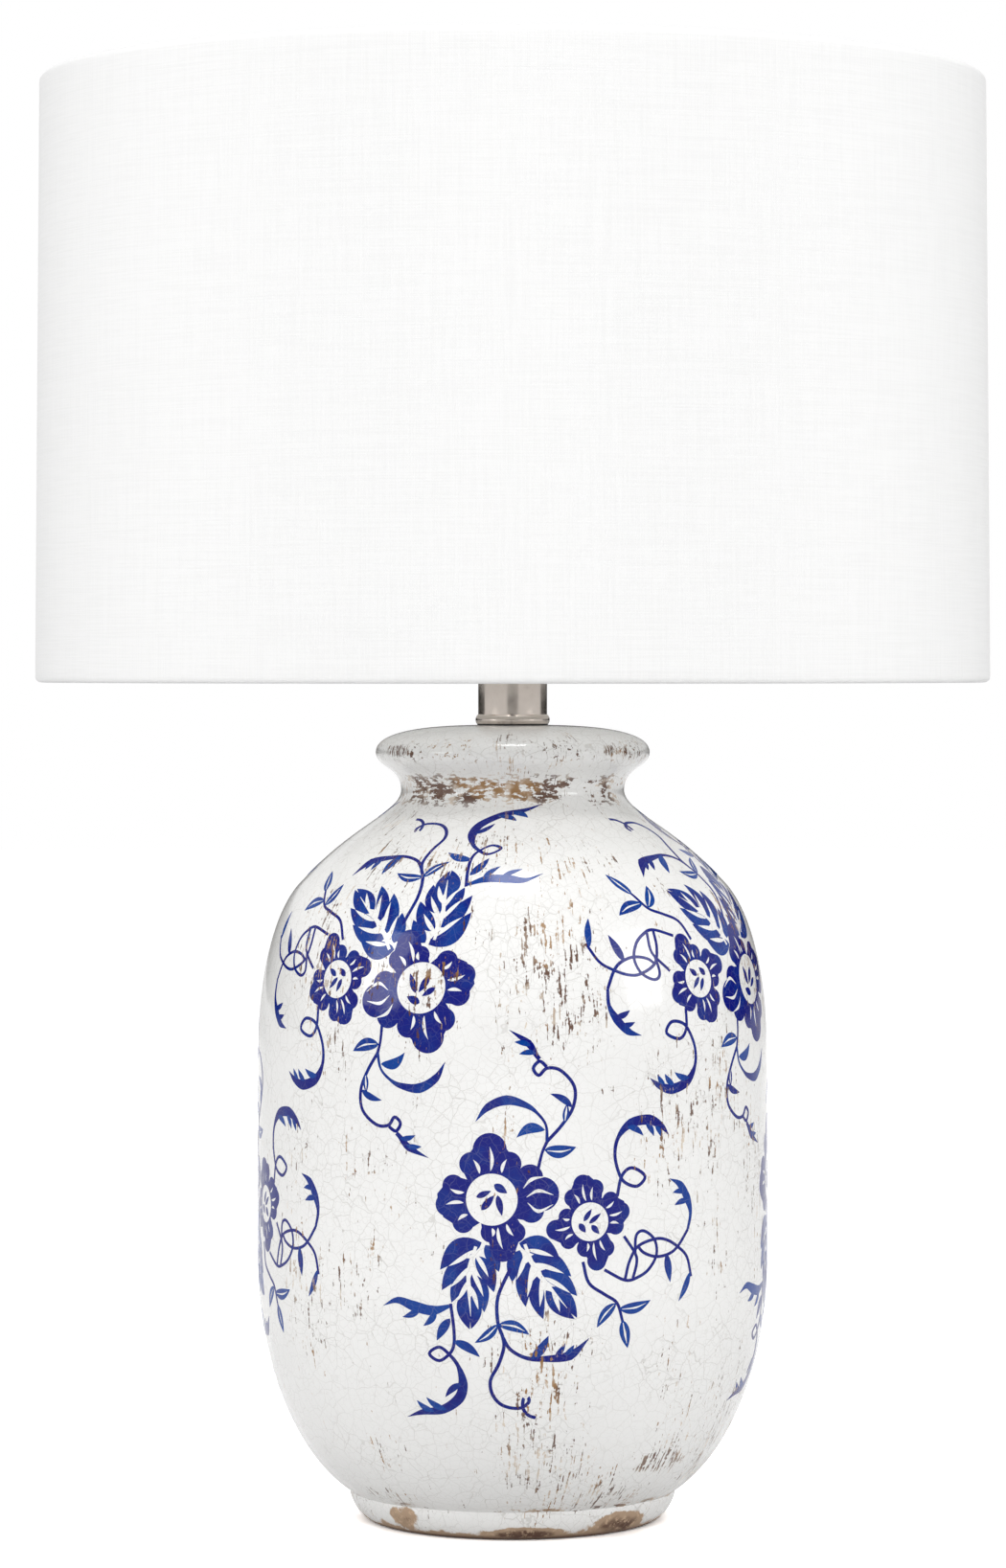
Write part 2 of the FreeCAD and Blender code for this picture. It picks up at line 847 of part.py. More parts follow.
def make_shell_rivets():
    """The two rivets that hold the screw shell down on the core."""
    rivets = []
    for side in (-1, 1):
        head = rod(rivet_head_radius, socket_floor_top, socket_floor_top + rivet_head)
        head.translate(Vector(0, side * (core_radius - rivet_inset), 0))
        rivets.append(rivet_shank(side, rivet_radius).fuse(head).removeSplitter())
    return Part.makeCompound(rivets)


def shaft_end():
    """Where the switch shaft ends inside the core, as a y coordinate."""
    return -(core_radius - shaft_depth)


def terminal_height():
    return (core_base + core_top - core_flange_thickness) / 2


def terminal_shank_hole(side):
    return Part.makeCylinder(
        terminal_shank_radius + pipe_clearance,
        terminal_shank + pipe_clearance,
        Vector(side * core_radius, 0, terminal_height()),
        Vector(-side, 0, 0),
    )


def make_terminal_screws():
    """The two wire screws, one on each side of the core."""
    screws = []
    for side in (-1, 1):
        out = Vector(side, 0, 0)
        seat = Vector(side * core_radius, 0, terminal_height())
        shank = Part.makeCylinder(terminal_shank_radius, terminal_shank, seat, out * -1)
        head = Part.makeCylinder(terminal_radius, terminal_head, seat, out)
        screws.append(shank.fuse(head).removeSplitter())
    return Part.makeCompound(screws)


def make_screw_shell():
    """The rolled brass shell that the bulb screws into, with a flat floor on the core."""
    inner = socket_thread_radius
    outer = inner + socket_thread_wall
    middle = socket_thread_depth / 2
    outline = Outline(contact_hole_radius, core_top).line(outer + middle, core_top)
    outline.line(outer + middle, socket_floor_top)
    rolled_thread(outline, outer, socket_thread_depth, socket_floor_top, socket_turns, True)
    outline.line(inner + middle, socket_thread_top)
    rolled_thread(outline, inner, socket_thread_depth, socket_floor_top, socket_turns, False)
    shell = outline.line(contact_hole_radius, socket_floor_top).solid()
    for side in (-1, 1):
        shell = shell.cut(rivet_shank(side, rivet_radius + core_clearance))
    return shell


def make_contact_tab():
    """The spring tab under the bulb's tip: a flat foot on the core, a ramp and a raised pad."""
    half = tab_length / 2
    step = tab_length / 3
    low = core_top
    high = tab_top - tab_thickness
    points = [
        (-half, low),
        (-half + step, low),
        (-half + 2 * step, high),
        (half, high),
        (half, high + tab_thickness),
        (-half + 2 * step, high + tab_thickness),
        (-half + step, low + tab_thickness),
        (-half, low + tab_thickness),
        (-half, low),
    ]
    wire = Part.makePolygon([Vector(x, -tab_width / 2, z) for x, z in points])
    return Part.Face(wire).extrude(Vector(0, tab_width, 0))


# ---------------------------------------------------------------- switch
def knob_start():
    return -(shell_radius + knob_gap)


def knob_end():
    return knob_start() - knob_length


def make_switch_shaft():
    return rod_along_y(
        shaft_radius, shaft_end() - shaft_clearance, knob_end() + knob_cover, shaft_height
    )


def make_switch_knob():
    """A tapered knob with flutes, bored for the shaft."""
    outline = (
        Outline(0, 0)
        .line(knob_base_radius - knob_round, 0)
        .line(knob_base_radius, knob_round)
        .line(knob_tip_radius, knob_length - knob_round)
        .line(knob_tip_radius - knob_round, knob_length)
        .line(0, knob_length)
        .solid()
    )
    lean = math.degrees(math.atan2(knob_base_radius - knob_tip_radius, knob_length))
    flute = Part.makeCylinder(
        knob_flute_radius, 2 * knob_length, Vector(0, 0, -knob_length / 2)
    )
    flute.rotate(Vector(0, 0, 0), Vector(0, 1, 0), -lean)
    flute.translate(Vector(knob_base_radius + knob_flute_radius / 2, 0, 0))
    knob = outline.cut(around(flute, knob_flutes))
    knob = knob.cut(rod(shaft_radius, 0, knob_length - knob_cover))
    knob.rotate(Vector(0, 0, 0), Vector(1, 0, 0), 90)
    knob.translate(Vector(0, knob_start(), shaft_height))
    return knob


# ---------------------------------------------------------------- bulb
def make_bulb_contact():
    return rod(bulb_contact_radius, bulb_base, bulb_cone_base)


def make_bulb_cone():
    """The black insulator between the tip and the screw base."""
    return (
        Outline(0, bulb_cone_base)
        .line(bulb_contact_radius, bulb_cone_base)
        .line(bulb_cone_radius, bulb_thread_base - bulb_cone_height / 4)
        .line(bulb_cone_radius, bulb_thread_base)
        .line(0, bulb_thread_base)
        .solid()
    )


def make_bulb_screw():
    """The bulb's rolled screw base, closed below and flared at its rim."""
    outer = bulb_root_radius
    inner = outer - bulb_thread_wall
    middle = bulb_thread_depth / 2
    floor_base = bulb_thread_base + seat_gap
    outline = Outline(0, floor_base).line(outer + middle, floor_base)
    rolled_thread(outline, outer, bulb_thread_depth, floor_base, bulb_turns, True)
    outline.line(bulb_rim_radius, bulb_rim_base + bulb_rim_rise / 2)
    outline.line(bulb_rim_radius, bulb_rim)
    outline.line(bulb_rim_radius - bulb_thread_wall, bulb_rim)
    outline.line(inner + middle, floor_base + bulb_turns * thread_pitch)
    rolled_thread(outline, inner, bulb_thread_depth, floor_base, bulb_turns, False)
    outline.line(inner + middle, floor_base + bulb_thread_wall)
    outline.line(0, floor_base + bulb_thread_wall)
    return outline.solid()


def bulb_outline(inset):
    """The glass from its neck to its crown, moved inwards by inset."""
    neck = bulb_neck_radius - inset
    belly = bulb_radius - inset
    neck_top_height = bulb_rim + bulb_neck_length
    crown = bulb_centre + belly
    outline = Outline(0, bulb_rim_base).line(neck, bulb_rim_base).line(neck, neck_top_height)
    climb = bulb_centre - neck_top_height
    outline.curve(
        (neck, neck_top_height + climb / 3),
        (belly, bulb_centre - climb / 2),
        (belly, bulb_centre),
    )
    diagonal = belly / math.sqrt(2)
    outline.arc((diagonal, bulb_centre + diagonal), (0, crown))
    return outline.solid()


def make_bulb_glass():
    return bulb_outline(0.0).cut(bulb_outline(bulb_glass_wall))


def make_bulb_stem():
    """The glass stem: a flare that closes the bulb's neck and a post that carries the filament."""
    flare = bulb_neck_radius - bulb_glass_wall - stem_clearance
    flare_top = bulb_rim_base + stem_flare_thickness
    stem = (
        Outline(0, bulb_rim_base)
        .line(flare, bulb_rim_base)
        .line(flare, flare_top)
        .curve((stem_radius, flare_top), (stem_radius, flare_top), (stem_radius, bulb_rim))
        .line(stem_radius, stem_top)
        .line(0, stem_top)
        .solid()
    )
    for side in (-1, 1):
        lead = rod(filament_wire_radius + stem_clearance, stem_top - filament_sink, stem_top)
        stem = stem.cut(lead.translate(Vector(side * filament_inset, 0, 0)))
    return stem


def make_bulb_filament():
    """The wire that glows, bent up from the stem, out, across and down again."""
    low = stem_top - filament_sink
    high = stem_top + filament_rise
    points = [
        Vector(-filament_inset, 0, low),
        Vector(-filament_inset, 0, stem_top + filament_rise / 3),
        Vector(-filament_half_width, 0, high),
        Vector(0, 0, high + filament_rise / 10),
        Vector(filament_half_width, 0, high),
        Vector(filament_inset, 0, stem_top + filament_rise / 3),
        Vector(filament_inset, 0, low),
    ]
    return wire_along(bent_path(points, harp_bend_share), filament_wire_radius)


# ---------------------------------------------------------------- shade
def shade_radius(height):
    """Outer radius of the shade at a height."""
    return shade_bottom_radius - shade_taper * (height - shade_bottom) / shade_height


def ring_inset():
    """From the shade's outer face to the middle of a frame wire."""
    return fabric_thickness + liner_thickness + 2 * glue_gap + ring_wire_radius


def make_shade_ring(height):
    return ring(ring_wire_radius, shade_radius(height) - ring_inset(), height)


def top_ring_height():
    return shade_top - hem_radius


def bottom_ring_height():
    return shade_bottom + hem_radius


def make_shade_liner():
    """The stiff sheet that the fabric is laminated to, between the two wire rings."""
    low, high = bottom_ring_height(), top_ring_height()
    outer = fabric_thickness + glue_gap
    inner = outer + liner_thickness
    return (
        Outline(shade_radius(low) - outer, low)
        .line(shade_radius(high) - outer, high)
        .line(shade_radius(high) - inner, high)
        .line(shade_radius(low) - inner, low)
        .solid()
    )


def hem_points(height, direction):
    """The fabric's turned-in hem from a ring at a height to its cut edge, as the points of its face
    towards the room and those of its face towards the liner. direction is 1 at the top ring and -1
    at the bottom one."""
    level = height - direction * ring_wire_radius
    back = level - direction * hem_slope
    end = back - direction * hem_flat
    at_ring = shade_radius(height) - hem_width
    on_liner = fabric_thickness + liner_thickness + 2 * glue_gap
    room_side = [
        (at_ring, height),
        (at_ring, level),
        (shade_radius(back) - on_liner - fabric_thickness, back),
        (shade_radius(end) - on_liner - fabric_thickness, end),
    ]
    liner_side = [
        (at_ring + fabric_thickness, height),
        (at_ring + fabric_thickness, level),
        (shade_radius(back) - on_liner, back),
        (shade_radius(end) - on_liner, end),
    ]
    return room_side, liner_side


def make_shade_fabric():
    """The cover: one sheet round the liner, rolled over both rings and turned in behind them."""
    low, high = bottom_ring_height(), top_ring_height()
    top_room, top_liner = hem_points(high, 1)
    bottom_room, bottom_liner = hem_points(low, -1)
    inner_roll = hem_radius - fabric_thickness
    top_middle = shade_radius(high) - hem_radius
    bottom_middle = shade_radius(low) - hem_radius
    cover = Outline(shade_radius(low), low).line(shade_radius(high), high)
    cover.arc((top_middle, shade_top), top_room[0])
    for corner in top_room[1:] + top_liner[::-1]:
        cover.line(*corner)
    cover.arc((top_middle, high + inner_roll), (shade_radius(high) - fabric_thickness, high))
    cover.line(shade_radius(low) - fabric_thickness, low)
    cover.arc((bottom_middle, low - inner_roll), bottom_liner[0])
    for corner in bottom_liner[1:] + bottom_room[::-1]:
        cover.line(*corner)
    cover.arc((bottom_middle, shade_bottom), (shade_radius(low), low))
    return cover.solid().cut(spider_arms(arm_radius + glue_gap))


def make_spider_washer():
    """The ring that sits on the harp's stud."""
    bore = stud_pilot_radius + washer_clearance
    return tube(washer_radius, bore, washer_base, washer_base + washer_thickness)


def spider_arms(radius):
    """Straight arms that leave the washer and climb to the top ring."""
    low = washer_base + washer_thickness / 2
    high = top_ring_height()
    end = shade_radius(high) - ring_inset()
    path = bent_path(
        [
            Vector(washer_radius - radius, 0, low),
            Vector(end - arm_rise_run, 0, low),
            Vector(end, 0, high),
        ],
        harp_bend_share,
    )
    return around(wire_along(path, radius), arm_count, arm_first_angle)


def make_spider_arms():
    """The arms, cut to butt against the washer and the ring."""
    washer_blank = rod(washer_radius, 0, shade_top)
    top_ring = make_shade_ring(top_ring_height())
    arms = []
    for arm in spider_arms(arm_radius):
        pieces = arm.cut(washer_blank).cut(top_ring).Solids
        arms.append(min(pieces, key=lambda piece: piece.CenterOfMass.Length))
    return Part.makeCompound(arms)


# ---------------------------------------------------------------- finial
def make_finial_insert():
    """The threaded bush pressed into the finial."""
    bore = stud_thread_radius + stud_clearance
    depth = stud_tip - finial_base + 2 * seat_gap
    body = rod(insert_radius, finial_base, finial_base + insert_length)
    return body.cut(rod(bore, finial_base, finial_base + depth))


def make_finial_knob():
    """A turned knob: collar, waist, ball and tip, bored for its insert."""
    collar = finial_base + finial_base_height
    waist = collar + finial_waist_rise
    top = finial_base + finial_height
    tip = top - finial_tip_height
    middle = (waist + tip) / 2
    knob = (
        Outline(0, finial_base)
        .line(finial_base_radius, finial_base)
        .line(finial_base_radius, collar)
        .arc(
            ((finial_base_radius + finial_waist_radius) / 2 - 0.2, (collar + waist) / 2),
            (finial_waist_radius, waist),
        )
        .curve(
            (finial_ball_radius, waist + (middle - waist) / 3),
            (finial_ball_radius, middle - (middle - waist) / 3),
            (finial_ball_radius, middle),
        )
        .curve(
            (finial_ball_radius, middle + (tip - middle) / 2),
            (finial_ball_radius * 0.75, tip),
            (finial_tip_radius, tip),
        )
        .curve(
            (finial_tip_radius, tip + finial_tip_height / 2),
            (finial_tip_radius / 2, top),
            (0, top),
        )
        .solid()
    )
    return knob.cut(rod(insert_radius, finial_base, finial_base + insert_length))


# ---------------------------------------------------------------- nodes
def build():
    """Every piece of the lamp by the name of its node."""
    return {
        "jar": make_jar(),
        "cord_grommet": make_cord_grommet(),
        "foot_gasket": make_foot_gasket(),
        "foot_washer": make_foot_washer(),
        "lock_washer": make_lock_washer(),
        "pipe_nut": make_pipe_nut(),
        "lamp_pipe": make_lamp_pipe(),
        "neck_gasket": make_neck_gasket(),
        "neck": make_neck(),
        "harp_saddle": make_harp_saddle(),
        "socket_cap": make_socket_cap(),
        "cap_set_screw": make_cap_set_screw(),
        "socket_shell": make_socket_shell(),
        "socket_liner": make_socket_liner(),
        "socket_core": make_socket_core(),
        "terminal_screws": make_terminal_screws(),
        "screw_shell": make_screw_shell(),
        "shell_rivets": make_shell_rivets(),
        "contact_tab": make_contact_tab(),
        "switch_shaft": make_switch_shaft(),
        "switch_knob": make_switch_knob(),
        "bulb_contact": make_bulb_contact(),
        "bulb_insulator": make_bulb_cone(),
        "bulb_screw_base": make_bulb_screw(),
        "bulb_glass": make_bulb_glass(),
        "bulb_stem": make_bulb_stem(),
        "bulb_filament": make_bulb_filament(),
        "harp": make_harp(),
        "harp_sleeve_left": make_harp_sleeve(-1),
        "harp_sleeve_right": make_harp_sleeve(1),
        "harp_stud": make_harp_stud(),
        "spider_washer": make_spider_washer(),
        "spider_arms": make_spider_arms(),
        "shade_top_ring": make_shade_ring(top_ring_height()),
        "shade_bottom_ring": make_shade_ring(bottom_ring_height()),
        "shade_liner": make_shade_liner(),
        "shade_fabric": make_shade_fabric(),
        "finial_insert": make_finial_insert(),
        "finial_knob": make_finial_knob(),
    }


os.makedirs("parts", exist_ok=True)
for name, shape in build().items():
    if not shape.isValid():
        raise ValueError(f"{name} is not a valid shape")
    print(f"{name}: {len(shape.Solids)} solid(s), {shape.Volume:.1f} mm3")
    shape.exportStep(f"parts/{name}.step")
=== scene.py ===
"""Looks of the ginger jar lamp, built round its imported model.

Metres, +Z up, the lamp's axis is Z and its front faces -Y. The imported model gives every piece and
its place. This script dresses them: a crackle-glazed jar with cobalt flower sprays, a drum shade of
white linen, nickel metalwork and a coated bulb, on a pale floor in studio light.
"""

import json
import logging
import math
from dataclasses import dataclass, field
from enum import Enum
from typing import Sequence

import bmesh
import bpy
from mathutils import Matrix, Vector, geometry, noise


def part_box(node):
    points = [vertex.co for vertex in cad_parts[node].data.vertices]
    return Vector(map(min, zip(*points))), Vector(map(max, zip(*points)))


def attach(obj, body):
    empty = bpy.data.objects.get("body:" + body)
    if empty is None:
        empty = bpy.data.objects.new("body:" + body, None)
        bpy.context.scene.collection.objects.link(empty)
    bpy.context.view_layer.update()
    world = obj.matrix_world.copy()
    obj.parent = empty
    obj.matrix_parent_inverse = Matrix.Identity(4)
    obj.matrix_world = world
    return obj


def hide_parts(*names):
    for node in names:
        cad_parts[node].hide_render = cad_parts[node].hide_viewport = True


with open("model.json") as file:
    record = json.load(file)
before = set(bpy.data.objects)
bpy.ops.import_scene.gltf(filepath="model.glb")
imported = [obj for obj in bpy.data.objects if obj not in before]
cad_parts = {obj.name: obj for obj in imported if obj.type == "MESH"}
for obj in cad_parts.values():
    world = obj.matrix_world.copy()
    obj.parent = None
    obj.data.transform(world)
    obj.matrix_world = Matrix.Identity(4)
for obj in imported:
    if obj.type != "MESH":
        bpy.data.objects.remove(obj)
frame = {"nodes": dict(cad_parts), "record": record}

log = logging.getLogger("ginger_jar_lamp")

MM = 0.001
Flat = tuple[float, float]


class Slot(Enum):
    """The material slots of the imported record."""

    JAR_GLAZE = "jar_glaze"
    COBALT_PRINT = "cobalt_print"
    RUBBER = "rubber"
    ZINC_STEEL = "zinc_steel"
    NICKEL = "nickel"
    BRASS = "brass"
    CARD = "card"
    PHENOLIC = "phenolic"
    KNOB_PLASTIC = "knob_plastic"
    BULB_METAL = "bulb_metal"
    BULB_BLACK = "bulb_black"
    BULB_WHITE = "bulb_white"
    STEM_GLASS = "stem_glass"
    FILAMENT = "filament"
    WHITE_ENAMEL = "white_enamel"
    STYRENE = "styrene"
    WHITE_LINEN = "white_linen"


# ---------------------------------------------------------------- shader building
class NodeSheet:
    """A node tree, a material's or a group's, with short ways to lay nodes in it."""

    def __init__(self, tree: bpy.types.NodeTree) -> None:
        """Starts on a tree.

        Args:
            tree: The tree that the nodes go into.
        """
        self.tree = tree

    def feed(self, socket: bpy.types.NodeSocket, value: object) -> None:
        """Links a socket to another one, or sets its plain value.

        Args:
            socket: The input socket.
            value: An output socket, a number, a vector or a colour.
        """
        if isinstance(value, bpy.types.NodeSocket):
            self.tree.links.new(value, socket)
        elif socket.type == "RGBA" and len(value) == 3:
            socket.default_value = (*value, 1.0)
        else:
            socket.default_value = value

    def add(self, kind: str, inputs: dict | None = None, **settings: object) -> bpy.types.Node:
        """Lays one node.

        Args:
            kind: The node's type name.
            inputs: Values or links for its inputs, by name or number.
            **settings: Properties of the node.

        Returns:
            The new node.
        """
        node = self.tree.nodes.new(kind)
        for name, value in settings.items():
            setattr(node, name, value)
        for name, value in (inputs or {}).items():
            self.feed(node.inputs[name], value)
        return node

    def maths(self, operation: str, *values: object) -> bpy.types.NodeSocket:
        """A Math node's result."""
        return self.add("ShaderNodeMath", dict(enumerate(values)), operation=operation).outputs[0]

    def vector(self, operation: str, *values: object) -> bpy.types.NodeSocket:
        """A Vector Math node's result: its number where it has one, or else its vector."""
        node = self.add("ShaderNodeVectorMath", dict(enumerate(values)), operation=operation)
        numbers = ("LENGTH", "DISTANCE", "DOT_PRODUCT")
        return node.outputs["Value" if operation in numbers else "Vector"]

    def ramp(
        self, value: object, low: float, high: float, start: float = 0.0, end: float = 1.0
    ) -> bpy.types.NodeSocket:
        """A smooth step between two levels.

        Args:
            value: What is mapped.
            low: The level at which the result is start.
            high: The level at which the result is end.
            start: The result below low.
            end: The result above high.

        Returns:
            The mapped value.
        """
        node = self.add("ShaderNodeMapRange", interpolation_type="SMOOTHSTEP", clamp=True)
        for name, setting in zip(
            ("Value", "From Min", "From Max", "To Min", "To Max"), (value, low, high, start, end)
        ):
            self.feed(node.inputs[name], setting)
        return node.outputs["Result"]

    def noise(
        self, vector: object, scale: float, detail: float = 2.0, roughness: float = 0.5
    ) -> bpy.types.NodeSocket:
        """A noise texture's value."""
        inputs = {"Vector": vector, "Scale": scale, "Detail": detail, "Roughness": roughness}
        return self.add("ShaderNodeTexNoise", inputs).outputs["Fac"]

    def mix(
        self, factor: object, first: object, second: object, blend: str = "MIX"
    ) -> bpy.types.NodeSocket:
        """A colour between two colours.

        Args:
            factor: The share of the second colour.
            first: The first colour.
            second: The second colour.
            blend: How they are mixed.

        Returns:
            The mixed colour.
        """
        node = self.add("ShaderNodeMix", data_type="RGBA", blend_type=blend)
        self.feed(node.inputs[0], factor)
        self.feed(node.inputs[6], first)
        self.feed(node.inputs[7], second)
        return node.outputs[2]

    def bump(self, height: object, depth: float, strength: float = 1.0) -> bpy.types.NodeSocket:
        """A normal from a height.

        Args:
            height: Height from 0 to 1.
            depth: What a height of 1 stands for, in metres.
            strength: The share of the effect.

        Returns:
            The normal.
        """
        inputs = {"Height": height, "Distance": depth, "Strength": strength}
        return self.add("ShaderNodeBump", inputs).outputs["Normal"]

    def coated(self, effect: bpy.types.Node, inputs: dict, depth: float = 0.0) -> bpy.types.Node:
        """Lays a shader that takes its roughness, and its relief if it has one, from an effect.

        Args:
            effect: The effect's node.
            inputs: The shader's other inputs.
            depth: What a height of 1 stands for, in metres, or 0 for no relief.

        Returns:
            The shader node.
        """
        given = {"Roughness": effect.outputs["Roughness"], **inputs}
        if depth:
            given["Normal"] = self.bump(effect.outputs["Height"], depth)
        return self.add("ShaderNodeBsdfPrincipled", given)

    def millimetres(self) -> bpy.types.NodeSocket:
        """The place on the lamp, in millimetres."""
        place = self.add("ShaderNodeTexCoord").outputs["Object"]
        return self.vector("MULTIPLY", place, (1 / MM, 1 / MM, 1 / MM))

    def use(self, group: "SurfaceEffect", **inputs: object) -> bpy.types.Node:
        """Lays a node group.

        Args:
            group: The effect.
            **inputs: Values or links for its inputs.

        Returns:
            The group's node.
        """
        return self.add("ShaderNodeGroup", dict(inputs), node_tree=group.tree())


class SurfaceEffect:
    """A pattern that several finishes share, kept as a node group."""

    name = "effect"
    inputs: dict[str, str] = {}
    outputs: dict[str, str] = {}

    def tree(self) -> bpy.types.NodeTree:
        """The node group, built on first use.

        Returns:
            The group's tree.
        """
        known = bpy.data.node_groups.get(self.name)
        if known:
            return known
        tree = bpy.data.node_groups.new(self.name, "ShaderNodeTree")
        for name, kind in self.inputs.items():
            tree.interface.new_socket(name, in_out="INPUT", socket_type=kind)
        for name, kind in self.outputs.items():
            tree.interface.new_socket(name, in_out="OUTPUT", socket_type=kind)
        sheet = NodeSheet(tree)
        given = sheet.add("NodeGroupInput")
        results = self.lay(sheet, given.outputs)
        sheet.add("NodeGroupOutput", results)
        return tree

    def lay(self, sheet: NodeSheet, given: bpy.types.NodeOutputs) -> dict:
        """Lays the group's nodes.

        Args:
            sheet: Where they go.
            given: The group's inputs.

        Returns:
            The group's outputs by name.
        """
        raise NotImplementedError


FLOAT = "NodeSocketFloat"
VECTOR = "NodeSocketVector"
COLOUR = "NodeSocketColor"


class CrackleNet(SurfaceEffect):
    """The net of fine cracks in a glaze."""

    name = "crackle net"
    inputs = {"Place": VECTOR, "Cell": FLOAT, "Line": FLOAT}
    outputs = {"Mask": FLOAT}

    def lay(self, sheet: NodeSheet, given: bpy.types.NodeOutputs) -> dict:
        """Lays the edges of wavy cells.

        Args:
            sheet: Where the nodes go.
            given: The group's inputs.

        Returns:
            The group's outputs by name.
        """
        scale = sheet.maths("DIVIDE", 1.0, given["Cell"])
        even = sheet.vector("SCALE", given["Place"])
        sheet.feed(even.node.inputs["Scale"], scale)
        sway = sheet.add("ShaderNodeTexNoise", {"Vector": even, "Scale": 1.6, "Detail": 2.0})
        shift = sheet.vector("MULTIPLY", sway.outputs["Color"], (0.35, 0.35, 0.35))
        moved = sheet.vector("ADD", even, shift)
        edges = sheet.add(
            "ShaderNodeTexVoronoi", {"Vector": moved, "Scale": 1.0}, feature="DISTANCE_TO_EDGE"
        )
        reach = sheet.maths("MULTIPLY", sheet.maths("MULTIPLY", given["Line"], scale), 0.5)
        share = sheet.maths("DIVIDE", edges.outputs["Distance"], reach)
        return {"Mask": sheet.ramp(share, 0.5, 1.5, 1.0, 0.0)}


class DryBrush(SurfaceEffect):
    """Broken streaks, as a nearly dry brush leaves them."""

    name = "dry brush"
    inputs = {"Place": VECTOR, "Grain": VECTOR, "Amount": FLOAT}
    outputs = {"Mask": FLOAT}

    wall_radius = 96.0
    crumb_share = 0.45
    amount_share = 0.24
    cut = (0.985, 1.035)

    def lay(self, sheet: NodeSheet, given: bpy.types.NodeOutputs) -> dict:
        """Lays noise stretched along the wall, cut at a level that the amount sets.

        Args:
            sheet: Where the nodes go.
            given: The group's inputs.

        Returns:
            The group's outputs by name.
        """
        across = sheet.vector("NORMALIZE", sheet.vector("MULTIPLY", given["Place"], (1, 1, 0)))
        around = sheet.vector("MULTIPLY", across, (self.wall_radius, self.wall_radius, 0))
        upright = sheet.vector("MULTIPLY", given["Place"], (0, 0, 1))
        along = sheet.vector("ADD", around, upright)
        stretched = sheet.vector("MULTIPLY", along, given["Grain"])
        streaks = sheet.noise(stretched, 1.0, 3.0, 0.6)
        crumbs = sheet.noise(given["Place"], 0.55, 2.0, 0.6)
        level = sheet.maths("MULTIPLY_ADD", crumbs, self.crumb_share, streaks)
        raised = sheet.maths("MULTIPLY_ADD", given["Amount"], self.amount_share, level)
        return {"Mask": sheet.ramp(raised, *self.cut)}


class WornSpot(SurfaceEffect):
    """A soft-edged spot round a place."""

    name = "worn spot"
    inputs = {"Place": VECTOR, "Centre": VECTOR, "Reach": VECTOR}
    outputs = {"Mask": FLOAT}

    def lay(self, sheet: NodeSheet, given: bpy.types.NodeOutputs) -> dict:
        """Lays an ellipsoid's fading inside.

        Args:
            sheet: Where the nodes go.
            given: The group's inputs.

        Returns:
            The group's outputs by name.
        """
        away = sheet.vector("SUBTRACT", given["Place"], given["Centre"])
        share = sheet.vector("LENGTH", sheet.vector("DIVIDE", away, given["Reach"]))
        return {"Mask": sheet.ramp(share, 0.3, 1.1, 1.0, 0.0)}


@dataclass(frozen=True)
class Wear:
    """One worn place on the jar: its middle, its reach and how strongly it is brushed."""

    centre: tuple[float, float, float]
    reach: tuple[float, float, float]
    amount: float


# Where the glaze is most worn, in millimetres.
BRUSHED_PLACES = (
    Wear((10, -97, 243), (13, 40, 22), 0.95),
    Wear((17, -101, 222), (12, 40, 16), 0.6),
    Wear((-51, -76, 39), (14, 25, 14), 0.7),
    Wear((-48, -52, 18), (24, 26, 6), 0.85),
    Wear((63, -74, 54), (8, 25, 14), 0.45),
    Wear((58, -62, 33), (22, 30, 8), 1.1),
    Wear((-88, -56, 82), (5, 12, 7), 0.7),
    Wear((44, -53, 20), (14, 24, 8), 0.9),
    Wear((-70, 72, 230), (16, 40, 22), 0.8),
    Wear((40, 96, 120), (12, 40, 26), 0.5),
    Wear((-46, -30, 319), (12, 16, 4), 1.3),
    Wear((42, -36, 319), (16, 16, 4), 1.2),
    Wear((20, 50, 320), (18, 16, 4), 1.1),
    Wear((88, 50, 240), (16, 30, 14), 0.6),
)
STAINED_FOOT = (
    Wear((-45, -50, 10), (11, 14, 8), 1.15),
    Wear((6, -66, 3), (22, 12, 4), 0.9),
    Wear((46, -50, 7), (20, 20, 8), 1.15),
    Wear((30, 58, 6), (20, 16, 6), 0.8),
)


